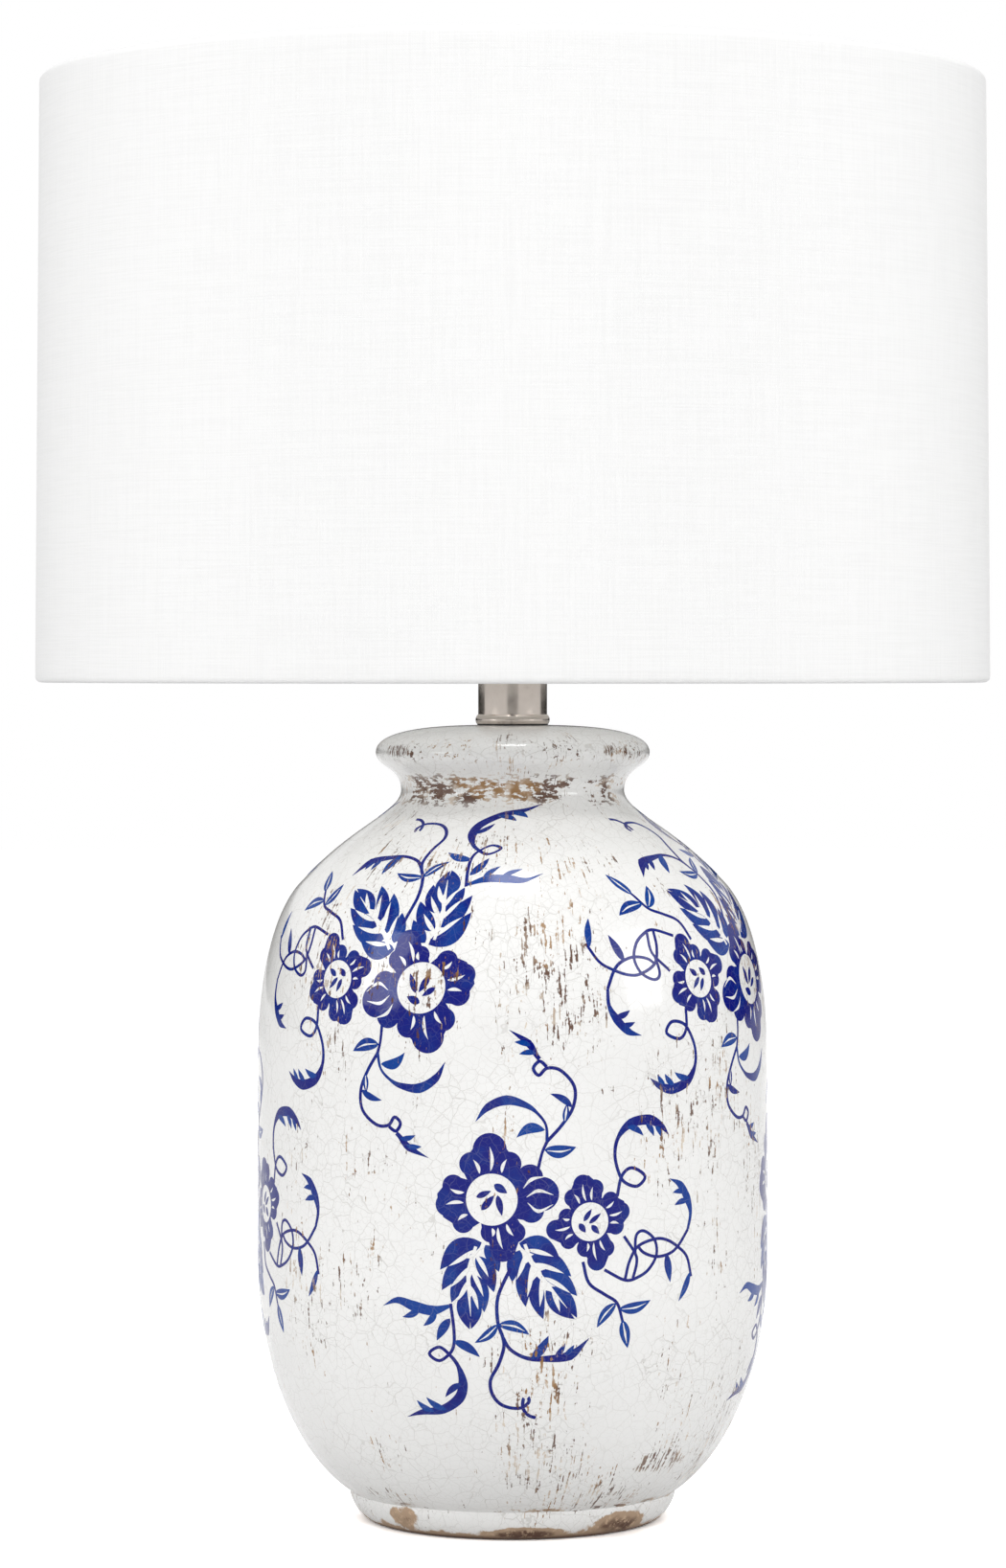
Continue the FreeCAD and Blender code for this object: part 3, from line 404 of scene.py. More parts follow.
class WornGlaze(SurfaceEffect):
    """A crackled gloss glaze over any colour, brushed with brown stain and bare at the foot."""

    name = "worn glaze"
    inputs = {"Colour": COLOUR, "Cracks": FLOAT}
    outputs = {"Colour": COLOUR, "Roughness": FLOAT, "Height": FLOAT}

    crack_grey = (0.52, 0.50, 0.47)
    pale_stain = (0.60, 0.45, 0.30)
    brown_stain = (0.10, 0.038, 0.016)
    ochre_stain = (0.42, 0.22, 0.06)
    clay = (0.56, 0.40, 0.27)
    # Darkest clay colour, used for burnt spots and for the painted shade along the foot's bottom
    # edge.
    burnt_clay_and_shade = (0.10, 0.045, 0.025)
    bare_height = 9.0
    bite_height = 7.0

    def spots(
        self, sheet: NodeSheet, place: object, places: Sequence[Wear]
    ) -> bpy.types.NodeSocket:
        """The sum of several worn spots.

        Args:
            sheet: Where the nodes go.
            place: The place on the jar, in millimetres.
            places: The spots.

        Returns:
            How strongly the place is worn.
        """
        total: object = 0.0
        for wear in places:
            spot = sheet.use(WornSpot(), Place=place, Centre=wear.centre, Reach=wear.reach)
            total = sheet.maths("MULTIPLY_ADD", spot.outputs["Mask"], wear.amount, total)
        return total

    def band(
        self, sheet: NodeSheet, height: object, low: float, high: float, soft: float
    ) -> bpy.types.NodeSocket:
        """A level band with soft edges.

        Args:
            sheet: Where the nodes go.
            height: The height on the jar, in millimetres.
            low: Where the band starts.
            high: Where it ends.
            soft: How far each edge fades to either side.

        Returns:
            1 in the band and 0 beyond it.
        """
        rise = sheet.ramp(height, low - soft, low + soft)
        fall = sheet.ramp(height, high - soft, high + soft, 1.0, 0.0)
        return sheet.maths("MULTIPLY", rise, fall)

    def lay(self, sheet: NodeSheet, given: bpy.types.NodeOutputs) -> dict:
        """Lays cracks, streaks, stains and the bare foot, from the glaze down to the clay, and
        painted shade along the foot's bottom edge.

        Args:
            sheet: Where the nodes go.
            given: The group's inputs.

        Returns:
            The group's outputs by name.
        """
        place = sheet.millimetres()
        height = sheet.add("ShaderNodeSeparateXYZ", {"Vector": place}).outputs["Z"]

        fine = sheet.use(CrackleNet(), Place=place, Cell=3.1, Line=0.16).outputs["Mask"]
        wide = sheet.use(CrackleNet(), Place=place, Cell=7.5, Line=0.24).outputs["Mask"]
        uneven = sheet.ramp(sheet.noise(place, 0.035), 0.38, 0.62, 0.45, 1.0)
        cracks = sheet.maths("MAXIMUM", sheet.maths("MULTIPLY", fine, 0.6), wide)
        cracks = sheet.maths("MULTIPLY", cracks, uneven)
        cracks = sheet.maths("MULTIPLY", cracks, given["Cracks"])
        colour = sheet.mix(cracks, given["Colour"], self.crack_grey)

        drift = sheet.vector("MULTIPLY", place, (0.035, 0.035, 0.014))
        touched = sheet.ramp(sheet.noise(drift, 1.0, 3.0), 0.40, 0.66, 0.10, 0.80)
        local = self.spots(sheet, place, BRUSHED_PLACES)
        amount = sheet.maths("MAXIMUM", touched, local)
        upright = sheet.use(DryBrush(), Place=place, Grain=(0.85, 0.85, 0.11), Amount=amount)
        upright = upright.outputs["Mask"]

        waist = self.band(sheet, height, 296.0, 310.0, 4.0)
        foot_groove = self.band(sheet, height, 12.0, 14.5, 1.0)
        lip = self.band(sheet, height, 315.0, 324.0, 1.5)
        banded = sheet.maths("MAXIMUM", waist, foot_groove)
        clustered = sheet.ramp(sheet.noise(place, 0.032, 2.0), 0.44, 0.60, 0.25, 1.35)
        level_amount = sheet.maths("MULTIPLY", banded, clustered)
        level = sheet.use(DryBrush(), Place=place, Grain=(0.10, 0.10, 0.7), Amount=level_amount)
        level = sheet.maths("MULTIPLY", level.outputs["Mask"], banded)
        specks = sheet.ramp(sheet.noise(place, 0.45, 3.0, 0.7), 0.595, 0.635)
        specks = sheet.maths("MULTIPLY", sheet.maths("MULTIPLY", specks, lip), clustered)
        streaks = sheet.maths("MAXIMUM", sheet.maths("MAXIMUM", upright, level), specks)

        depth = sheet.ramp(sheet.noise(place, 0.12, 3.0), 0.34, 0.54)
        depth = sheet.maths("MAXIMUM", depth, sheet.maths("MULTIPLY", local, 0.8))
        stain = sheet.mix(depth, self.pale_stain, self.brown_stain)
        rust = sheet.ramp(sheet.noise(place, 0.05, 2.0), 0.52, 0.60)
        stain = sheet.mix(sheet.maths("MULTIPLY", rust, 0.6), stain, self.ochre_stain)
        strength = sheet.maths("MULTIPLY", streaks, sheet.ramp(depth, 0.0, 1.0, 0.6, 0.97))
        colour = sheet.mix(strength, colour, stain)

        ragged = sheet.maths("MULTIPLY", sheet.noise(place, 0.16, 4.0, 0.65), self.bare_height)
        bite = sheet.maths("MULTIPLY", self.spots(sheet, place, STAINED_FOOT), self.bite_height)
        edge = sheet.maths("SUBTRACT", height, sheet.maths("ADD", ragged, bite))
        bare = sheet.ramp(edge, -2.0, -0.6, 1.0, 0.0)
        burnt_and_floor_shade = sheet.ramp(sheet.noise(place, 0.3, 4.0, 0.7), 0.37, 0.49)
        burnt_and_floor_shade = sheet.maths("MULTIPLY", burnt_and_floor_shade, sheet.ramp(edge, -8.0, -4.0, 1.0, 0.25))
        # Painted shade: the lowest 3 mm of the foot, where it meets the floor, is darkened towards
        # the darkest clay colour.
        painted_floor_shade = sheet.ramp(height, 0.8, 2.8, 0.8, 0.0)
        burnt_and_floor_shade = sheet.maths("MAXIMUM", burnt_and_floor_shade, painted_floor_shade)
        earth = sheet.mix(burnt_and_floor_shade, self.clay, self.burnt_clay_and_shade)
        colour = sheet.mix(bare, colour, earth)

        worn = sheet.maths("MAXIMUM", sheet.maths("MULTIPLY", strength, 0.5), bare)
        grain = sheet.ramp(sheet.noise(place, 0.02, 2.0), 0.3, 0.7, 0.07, 0.12)
        roughness = sheet.maths("MULTIPLY_ADD", worn, 0.55, grain)
        sunk = sheet.maths("MULTIPLY", sheet.maths("MAXIMUM", cracks, worn), -1.0)
        rolling = sheet.maths("MULTIPLY", sheet.noise(place, 0.25, 1.0), 0.5)
        relief = sheet.maths("ADD", sunk, rolling)
        return {"Colour": colour, "Roughness": roughness, "Height": relief}


class RubbedMetal(SurfaceEffect):
    """Fine turning lines and faint smears on metal."""

    name = "rubbed metal"
    inputs = {"Grain": VECTOR, "Polish": FLOAT}
    outputs = {"Roughness": FLOAT, "Height": FLOAT, "Tarnish": FLOAT}

    def lay(self, sheet: NodeSheet, given: bpy.types.NodeOutputs) -> dict:
        """Lays lines along the grain and slow smears over them.

        Args:
            sheet: Where the nodes go.
            given: The group's inputs.

        Returns:
            The group's outputs by name.
        """
        place = sheet.millimetres()
        lines = sheet.noise(sheet.vector("MULTIPLY", place, given["Grain"]), 1.0, 3.0, 0.6)
        smears = sheet.ramp(sheet.noise(place, 0.09, 4.0, 0.6), 0.35, 0.7)
        spread = sheet.maths("MULTIPLY_ADD", smears, 0.07, given["Polish"])
        roughness = sheet.maths("MULTIPLY_ADD", lines, 0.06, spread)
        tarnish = sheet.ramp(sheet.noise(place, 0.35, 4.0, 0.65), 0.55, 0.72)
        return {"Roughness": roughness, "Height": lines, "Tarnish": tarnish}


class MouldedGrain(SurfaceEffect):
    """The slight mottle and grain of a moulded, pressed or painted surface."""

    name = "moulded grain"
    inputs = {"Fineness": FLOAT, "Polish": FLOAT}
    outputs = {"Shade": FLOAT, "Roughness": FLOAT, "Height": FLOAT}

    def lay(self, sheet: NodeSheet, given: bpy.types.NodeOutputs) -> dict:
        """Lays fine grain over a slow mottle.

        Args:
            sheet: Where the nodes go.
            given: The group's inputs.

        Returns:
            The group's outputs by name.
        """
        place = sheet.millimetres()
        fine = sheet.noise(place, given["Fineness"], 3.0, 0.6)
        slow = sheet.ramp(sheet.noise(place, 0.06, 3.0), 0.3, 0.7)
        roughness = sheet.maths("MULTIPLY_ADD", fine, 0.12, given["Polish"])
        return {"Shade": slow, "Roughness": roughness, "Height": fine}


class LinenWeave(SurfaceEffect):
    """Plain-woven linen round the lamp's axis: warp threads upright, weft threads round it."""

    name = "linen weave"
    inputs = {"Threads": FLOAT, "Pitch": FLOAT}
    outputs = {"Height": FLOAT, "Slubs": FLOAT}

    def lay(self, sheet: NodeSheet, given: bpy.types.NodeOutputs) -> dict:
        """Lays crossing threads with slubs of uneven length.

        Args:
            sheet: Where the nodes go.
            given: The group's inputs.

        Returns:
            The group's outputs by name.
        """
        place = sheet.millimetres()
        parts = sheet.add("ShaderNodeSeparateXYZ", {"Vector": place})
        angle = sheet.maths("ARCTAN2", parts.outputs["X"], parts.outputs["Y"])
        turns = sheet.maths("MULTIPLY", angle, given["Threads"])
        climb = sheet.maths("MULTIPLY", parts.outputs["Z"], 2 * math.pi)
        climb = sheet.maths("DIVIDE", climb, given["Pitch"])
        warp = sheet.maths("SINE", turns)
        weft = sheet.maths("SINE", climb)
        weave = sheet.maths("MULTIPLY", warp, weft)
        threads = sheet.maths("MULTIPLY_ADD", weave, 0.25, 0.5)
        level = sheet.vector("MULTIPLY", place, (0.03, 0.03, 1.7))
        upright = sheet.vector("MULTIPLY", place, (1.7, 1.7, 0.03))
        slubs = sheet.maths("ADD", sheet.noise(level, 1.0, 3.0), sheet.noise(upright, 1.0, 3.0))
        slubs = sheet.maths("MULTIPLY", slubs, 0.5)
        height = sheet.maths("ADD", threads, sheet.ramp(slubs, 0.4, 0.65))
        return {"Height": height, "Slubs": slubs}


# ---------------------------------------------------------------- finishes
@dataclass(frozen=True)
class Finish:
    """A surface finish. Each kind of finish lays its own shader."""

    slot: Slot

    def material(self) -> bpy.types.Material:
        """The finish as a material, made on first use.

        Returns:
            The material.
        """
        known = bpy.data.materials.get(f"{self.slot.value} finish")
        if known:
            return known
        made = bpy.data.materials.new(f"{self.slot.value} finish")
        made.use_nodes = True
        made.node_tree.nodes.clear()
        sheet = NodeSheet(made.node_tree)
        shader = self.shader(sheet)
        sheet.add("ShaderNodeOutputMaterial", {"Surface": shader.outputs[0]})
        return made

    def shader(self, sheet: NodeSheet) -> bpy.types.Node:
        """Lays the finish's shader.

        Args:
            sheet: Where the nodes go.

        Returns:
            The shader node.
        """
        raise NotImplementedError


@dataclass(frozen=True)
class WhiteGlaze(Finish):
    """The jar's own glaze."""

    colour: tuple[float, float, float] = (0.88, 0.876, 0.862)
    depth: float = 0.00004

    def shader(self, sheet: NodeSheet) -> bpy.types.Node:
        """Lays the worn glaze over off-white.

        Args:
            sheet: Where the nodes go.

        Returns:
            The shader node.
        """
        worn = sheet.use(WornGlaze(), Colour=self.colour, Cracks=0.5)
        inputs = {"Base Color": worn.outputs["Colour"], "IOR": 1.5}
        return sheet.coated(worn, inputs, self.depth)


@dataclass(frozen=True)
class CobaltGlaze(Finish):
    """Cobalt decoration under the same glaze, darker where the brush was full."""

    full: tuple[float, float, float] = (0.003, 0.007, 0.185)
    thin: tuple[float, float, float] = (0.002, 0.050, 0.29)
    depth: float = 0.00004

    def shader(self, sheet: NodeSheet) -> bpy.types.Node:
        """Lays the worn glaze over blue that varies with each stroke's tone.

        Args:
            sheet: Where the nodes go.

        Returns:
            The shader node.
        """
        place = sheet.millimetres()
        tone = sheet.add("ShaderNodeAttribute", attribute_name="tone").outputs["Fac"]
        pooled = sheet.ramp(sheet.noise(place, 0.09, 3.0), 0.35, 0.65, -0.25, 0.25)
        share = sheet.maths("ADD", tone, pooled)
        blue = sheet.mix(sheet.ramp(share, 0.0, 1.0), self.full, self.thin)
        worn = sheet.use(WornGlaze(), Colour=blue, Cracks=0.10)
        inputs = {"Base Color": worn.outputs["Colour"], "IOR": 1.3}
        return sheet.coated(worn, inputs, self.depth)


@dataclass(frozen=True)
class Metal(Finish):
    """Plated, rolled or drawn metal."""

    colour: tuple[float, float, float]
    tarnish: tuple[float, float, float]
    polish: float
    grain: tuple[float, float, float] = (0.15, 0.15, 9.0)
    depth: float = 0.000003

    def shader(self, sheet: NodeSheet) -> bpy.types.Node:
        """Lays bare metal with turning lines and a little tarnish.

        Args:
            sheet: Where the nodes go.

        Returns:
            The shader node.
        """
        rubbed = sheet.use(RubbedMetal(), Grain=self.grain, Polish=self.polish)
        share = sheet.maths("MULTIPLY", rubbed.outputs["Tarnish"], 0.35)
        inputs = {"Base Color": sheet.mix(share, self.colour, self.tarnish), "Metallic": 1.0}
        return sheet.coated(rubbed, inputs, self.depth)


@dataclass(frozen=True)
class Moulded(Finish):
    """Rubber, plastic, card, enamel and other surfaces of one body colour."""

    colour: tuple[float, float, float]
    shade: tuple[float, float, float]
    polish: float
    fineness: float = 1.5
    depth: float = 0.00002

    def shader(self, sheet: NodeSheet) -> bpy.types.Node:
        """Lays one colour with a slow mottle and a fine grain.

        Args:
            sheet: Where the nodes go.

        Returns:
            The shader node.
        """
        grain = sheet.use(MouldedGrain(), Fineness=self.fineness, Polish=self.polish)
        colour = sheet.mix(grain.outputs["Shade"], self.colour, self.shade)
        return sheet.coated(grain, {"Base Color": colour}, self.depth)


@dataclass(frozen=True)
class CoatedGlass(Finish):
    """Bulb glass with a soft white coating on its inside."""

    colour: tuple[float, float, float] = (0.86, 0.86, 0.83)
    shade: tuple[float, float, float] = (0.80, 0.80, 0.77)

    def shader(self, sheet: NodeSheet) -> bpy.types.Node:
        """Lays milky glass with a clear outer gloss.

        Args:
            sheet: Where the nodes go.

        Returns:
            The shader node.
        """
        grain = sheet.use(MouldedGrain(), Fineness=0.8, Polish=0.12)
        return sheet.coated(
            grain,
            {
                "Base Color": sheet.mix(grain.outputs["Shade"], self.colour, self.shade),
                "Subsurface Weight": 0.25,
                "Subsurface Radius": (0.004, 0.004, 0.004),
                "Coat Weight": 0.6,
                "Coat Roughness": 0.04,
            },
        )


@dataclass(frozen=True)
class ClearGlass(Finish):
    """Clear glass."""

    def shader(self, sheet: NodeSheet) -> bpy.types.Node:
        """Lays clear glass with faint draw lines.

        Args:
            sheet: Where the nodes go.

        Returns:
            The shader node.
        """
        grain = sheet.use(MouldedGrain(), Fineness=0.4, Polish=0.0)
        inputs = {"Base Color": (0.92, 0.95, 0.95), "Transmission Weight": 1.0, "IOR": 1.5}
        return sheet.coated(grain, inputs)


@dataclass(frozen=True)
class Linen(Finish):
    """White linen on the shade."""

    colour: tuple[float, float, float] = (0.90, 0.90, 0.897)
    thread_shade: tuple[float, float, float] = (0.872, 0.872, 0.868)
    thread_count: int = 1240
    thread_pitch: float = 1.0
    depth: float = 0.00007

    def shader(self, sheet: NodeSheet) -> bpy.types.Node:
        """Lays woven cloth with a soft sheen.

        Args:
            sheet: Where the nodes go.

        Returns:
            The shader node.
        """
        weave = sheet.use(LinenWeave(), Threads=self.thread_count, Pitch=self.thread_pitch)
        slubs = sheet.ramp(weave.outputs["Slubs"], 0.42, 0.62)
        return sheet.add(
            "ShaderNodeBsdfPrincipled",
            {
                "Base Color": sheet.mix(slubs, self.colour, self.thread_shade),
                "Roughness": 0.9,
                "Sheen Weight": 0.15,
                "Sheen Roughness": 0.5,
                "Normal": sheet.bump(weave.outputs["Height"], self.depth, 0.5),
            },
        )


FINISHES: tuple[Finish, ...] = (
    WhiteGlaze(Slot.JAR_GLAZE),
    CobaltGlaze(Slot.COBALT_PRINT),
    Moulded(Slot.RUBBER, (0.022, 0.022, 0.023), (0.035, 0.034, 0.033), 0.62),
    Metal(Slot.ZINC_STEEL, (0.62, 0.62, 0.60), (0.42, 0.41, 0.38), 0.26),
    Metal(Slot.NICKEL, (0.70, 0.63, 0.57), (0.50, 0.42, 0.36), 0.15),
    Metal(Slot.BRASS, (0.80, 0.58, 0.27), (0.42, 0.26, 0.11), 0.22),
    Moulded(Slot.CARD, (0.42, 0.30, 0.18), (0.34, 0.24, 0.14), 0.78, fineness=0.9),
    Moulded(Slot.PHENOLIC, (0.030, 0.026, 0.023), (0.042, 0.036, 0.031), 0.38),
    Moulded(Slot.KNOB_PLASTIC, (0.012, 0.012, 0.012), (0.018, 0.018, 0.018), 0.16),
    Metal(Slot.BULB_METAL, (0.78, 0.78, 0.77), (0.60, 0.59, 0.57), 0.18),
    Moulded(Slot.BULB_BLACK, (0.010, 0.010, 0.012), (0.018, 0.016, 0.020), 0.08),
    CoatedGlass(Slot.BULB_WHITE),
    ClearGlass(Slot.STEM_GLASS),
    Metal(Slot.FILAMENT, (0.30, 0.30, 0.31), (0.18, 0.18, 0.19), 0.34),
    Moulded(Slot.WHITE_ENAMEL, (0.84, 0.84, 0.82), (0.79, 0.79, 0.76), 0.24),
    Moulded(Slot.STYRENE, (0.86, 0.86, 0.84), (0.82, 0.82, 0.80), 0.45),
    Linen(Slot.WHITE_LINEN),
)


def finish(slot: Slot) -> bpy.types.Material:
    """The material of a slot.

    Args:
        slot: The slot.

    Returns:
        Its material.
    """
    return next(f for f in FINISHES if f.slot is slot).material()


# ---------------------------------------------------------------- pieces
def add_object(name: str, data: bpy.types.ID) -> bpy.types.Object:
    """Puts a new object into the scene.

    Args:
        name: Its name.
        data: Its mesh, light or camera.

    Returns:
        The object.
    """
    made = bpy.data.objects.new(name, data)
    bpy.context.scene.collection.objects.link(made)
    return made


def add_shape(name: str, mesh: bmesh.types.BMesh) -> bpy.types.Object:
    """Puts a bmesh into the scene as a new object.

    Args:
        name: Its name.
        mesh: Its shape. It is freed.

    Returns:
        The object.
    """
    data = bpy.data.meshes.new(name)
    mesh.to_mesh(data)
    mesh.free()
    return add_object(name, data)


def everything(mesh: bmesh.types.BMesh) -> list:
    """Every vertex, edge and face of a shape."""
    return mesh.verts[:] + mesh.edges[:] + mesh.faces[:]


def piece(
    name: str, mesh: bmesh.types.BMesh, slot: Slot, body: str, replaces: Sequence[str] = ()
) -> bpy.types.Object:
    """Turns a bmesh into a finished piece that rides on a body.

    Args:
        name: The piece's name.
        mesh: Its shape, in the lamp's frame. It is freed.
        slot: The slot that it takes its finish from.
        body: The body that it rides on.
        replaces: The nodes that it stands for.

    Returns:
        The piece.
    """
    made = add_shape(name, mesh)
    made.data.materials.append(finish(slot))
    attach(made, body)
    if replaces:
        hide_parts(*replaces)
    log.info("%s: %d faces on %s", name, len(made.data.polygons), body)
    return made


def cubic(start: Vector, first: Vector, second: Vector, end: Vector, count: int) -> list[Vector]:
    """Points along a cubic curve, without its start.

    Args:
        start: Where it starts.
        first: Its first handle.
        second: Its second handle.
        end: Where it ends.
        count: How many points it gets.

    Returns:
        The points.
    """
    found = []
    for i in range(1, count + 1):
        t = i / count
        s = 1 - t
        found.append(s**3 * start + 3 * s * s * t * first + 3 * s * t * t * second + t**3 * end)
    return found


def spun(outline: Sequence[Vector], steps: int, closed: bool = True) -> bmesh.types.BMesh:
    """An outline turned about the lamp's axis.

    Args:
        outline: Its (radius, height) points in millimetres, all off the axis.
        steps: How many steps the full turn takes.
        closed: Whether its last point joins its first.

    Returns:
        The turned shape in metres. The faces of a closed one look outwards.
    """
    mesh = bmesh.new()
    points = [mesh.verts.new((p.x * MM, 0, p.y * MM)) for p in outline]
    following = points[1:] + points[:1] if closed else points[1:]
    edges = [mesh.edges.new(pair) for pair in zip(points, following)]
    bmesh.ops.spin(
        mesh,
        geom=points + edges,
        cent=(0, 0, 0),
        axis=(0, 0, 1),
        angle=2 * math.pi,
        steps=steps,
        use_merge=True,
    )
    bmesh.ops.remove_doubles(mesh, verts=mesh.verts, dist=1e-7)
    bmesh.ops.recalc_face_normals(mesh, faces=mesh.faces)
    return mesh


def soften(mesh: bmesh.types.BMesh, crease: float) -> None:
    """Smooths every face and keeps the edges that turn by more than the crease sharp.

    Args:
        mesh: The shape.
        crease: The angle, in degrees.
    """
    for face in mesh.faces:
        face.smooth = True
    for edge in mesh.edges:
        edge.smooth = edge.calc_face_angle(0.0) < math.radians(crease)


# ---------------------------------------------------------------- jar
@dataclass
class Jar:
    """The glazed jar: one casting from its foot ring to its crown. Sizes are in millimetres."""

    foot_contact_radius: float = 57.0
    foot_recess_radius: float = 50.0
    foot_recess_depth: float = 13.0
    foot_band_radius: float = 67.7
    foot_band_height: float = 12.4
    foot_edge_round: float = 1.5
    foot_join: Flat = (69.0, 13.4)
    belly_low: Flat = (105.8, 108.0)
    belly_high: Flat = (105.8, 190.6)
    shoulder: Flat = (86.8, 265.4)
    waist: Flat = (46.3, 302.5)
    lip: Flat = (56.9, 318.0)
    crown: Flat = (15.4, 329.2)
    shoulder_lean: float = 0.9
    wall: float = 6.0
    bore_radius: float = 5.45
    outlet_height: float = 7.0
    outlet_radius: float = 4.4
    outlet_seat_radius: float = 5.7
    outlet_seat: float = 61.2
    unevenness: float = 0.16
    swells_round: float = 22.0
    swells_up: float = 13.0
    turns: int = 240
    profile: list[Vector] = field(default_factory=list)
    lengths: list[float] = field(default_factory=list)

    def side(self, inset: float) -> list[Vector]:
        """The wall's line from the foot join to the crown, moved inwards.

        Args:
            inset: How far, in millimetres.

        Returns:
            Its (radius, height) points.
        """
        lean = math.hypot(self.shoulder_lean, 1)
        start = Vector((self.foot_join[0] - inset / 2, self.foot_join[1] + inset))
        low = Vector((self.belly_low[0] - inset, self.belly_low[1]))
        high = Vector((self.belly_high[0] - inset, self.belly_high[1]))
        shoulder = Vector(self.shoulder) - Vector((1, self.shoulder_lean)) * (inset / lean)
        waist = Vector((self.waist[0] - inset, self.waist[1]))
        lip = Vector((self.lip[0] - inset, self.lip[1]))
        crown = Vector((self.crown[0], self.crown[1] - inset))
        points = [start]
        run, climb = low - start
        handle = start + Vector((0.671 * run, 0.180 * climb))
        points += cubic(start, handle, low - Vector((0, 0.379 * climb)), low, 44)
        points += [low.lerp(high, i / 30) for i in range(1, 31)]
        climb = shoulder.y - high.y
        back = 0.022 * climb
        handle = shoulder + Vector((back * self.shoulder_lean, -back))
        points += cubic(high, high + Vector((0, 0.795 * climb)), handle, shoulder, 34)
        climb = waist.y - shoulder.y
        ahead = 0.595 * climb
        handle = shoulder + Vector((-ahead * self.shoulder_lean, ahead))
        points += cubic(shoulder, handle, waist - Vector((0, 0.254 * climb)), waist, 26)
        rise = lip.y - waist.y
        handle = waist + Vector((0, 0.585 * rise))
        points += cubic(waist, handle, lip - Vector((0, 0.397 * rise)), lip, 14)
        handle = lip + Vector((0, 0.583 * (crown.y - lip.y)))
        reach = crown + Vector((0.717 * (lip.x - crown.x), -0.3))
        points += cubic(lip, handle, reach, crown, 24)
        return points

    def foot(self) -> list[Vector]:
        """The outer line of the foot, from its flat ring to its band.

        Returns:
            Its (radius, height) points.
        """
        start = Vector((self.foot_contact_radius, 0))
        end = Vector((self.foot_band_radius, self.foot_band_height))
        first = start + Vector((0.6 * (end.x - start.x), 0))
        second = end - Vector((0, 0.28 * end.y))
        return [start] + cubic(start, first, second, end, 12)

    def outline(self) -> list[Vector]:
        """The whole closed outline, outside, through the bore and round the hollow inside.

        Returns:
            Its (radius, height) points.
        """
        outer = self.foot() + self.side(0.0)
        top = outer[-1].y
        floor = self.foot_join[1] + self.wall
        inner = self.side(self.wall)
        bore = self.bore_radius
        recess = self.foot_recess_radius
        rounding = self.foot_edge_round
        corner = [
            Vector((recess + rounding * (1 - math.cos(a)), rounding * (1 - math.sin(a))))
            for a in (math.pi * i / 8 for i in range(5))
        ]
        return (
            outer
            + [Vector((bore, top)), Vector((bore, top - self.wall))]
            + inner[::-1]
            + [Vector((bore, floor)), Vector((bore, self.foot_recess_depth))]
            + [Vector((recess, self.foot_recess_depth))]
            + corner
        )

    def swell(self, place: Vector) -> float:
        """How far the hand-finished wall stands out.

        Args:
            place: The place on the jar, in metres.

        Returns:
            How far, in metres. The foot and the crown stay true.
        """
        round_jar = self.swells_round
        span = Vector((place.x * round_jar, place.y * round_jar, place.z * self.swells_up))
        fade = min(1.0, max(0.0, place.z / 0.02)) * min(1.0, max(0.0, (0.326 - place.z) / 0.01))
        return noise.noise(span) * self.unevenness * MM * fade

    def measure(self) -> None:
        """Works out the outer line and its lengths, which the decoration follows."""
        self.profile = [p * MM for p in self.foot() + self.side(0.0)]
        self.lengths = [0.0]
        for before, after in zip(self.profile, self.profile[1:]):
            self.lengths.append(self.lengths[-1] + (after - before).length)

    def length_at(self, height: float) -> float:
        """Length along the outer line at a height on the straight belly, in metres."""
        index = min(range(len(self.profile)), key=lambda i: abs(self.profile[i].y - height))
        return self.lengths[index] + height - self.profile[index].y

    def on_wall(self, angle: float, across: float, length: float, lift: float) -> Vector:
        """A place on the glaze.

        Args:
            angle: Round the axis from the front towards +X, in radians.
            across: Sideways from there along the glaze, in metres.
            length: Along the outer line, in metres.
            lift: Outwards from the glaze, in metres.

        Returns:
            The place.
        """
        last = len(self.lengths) - 2
        index = min(last, max(0, self.index_before(length)))
        start, end = self.profile[index], self.profile[index + 1]
        share = (length - self.lengths[index]) / (self.lengths[index + 1] - self.lengths[index])
        spot = start.lerp(end, share)
        run = self.profile[min(index + 2, last + 1)] - self.profile[max(index - 1, 0)]
        out = Vector((run.y, -run.x)).normalized()
        turn = angle + across / spot.x
        round_axis = Vector((math.sin(turn), -math.cos(turn), 0))
        place = round_axis * spot.x + Vector((0, 0, spot.y))
        normal = (round_axis * out.x + Vector((0, 0, out.y))).normalized()
        return place + round_axis * self.swell(place) + normal * lift

    def index_before(self, length: float) -> int:
        """The last point of the outer line before a length along it.

        Args:
            length: The length, in metres.

        Returns:
            The point's number.
        """
        low, high = 0, len(self.lengths) - 1
        while high - low > 1:
            middle = (low + high) // 2
            if self.lengths[middle] <= length:
                low = middle
            else:
                high = middle
        return low

    def build(self) -> bpy.types.Object:
        """Makes the jar, with the cord's way out through its foot.

        Returns:
            The jar.
        """
        self.measure()
        mesh = spun(self.outline(), self.turns)
        for vertex in mesh.verts:
            away = Vector((vertex.co.x, vertex.co.y, 0)).normalized()
            vertex.co += away * self.swell(vertex.co)
        soften(mesh, 40)
        jar = piece("glazed_jar", mesh, Slot.JAR_GLAZE, "base", ["jar"])
        self.cut(jar, self.outlet_radius, self.foot_recess_radius / 2)
        self.cut(jar, self.outlet_seat_radius, self.outlet_seat)
        return jar

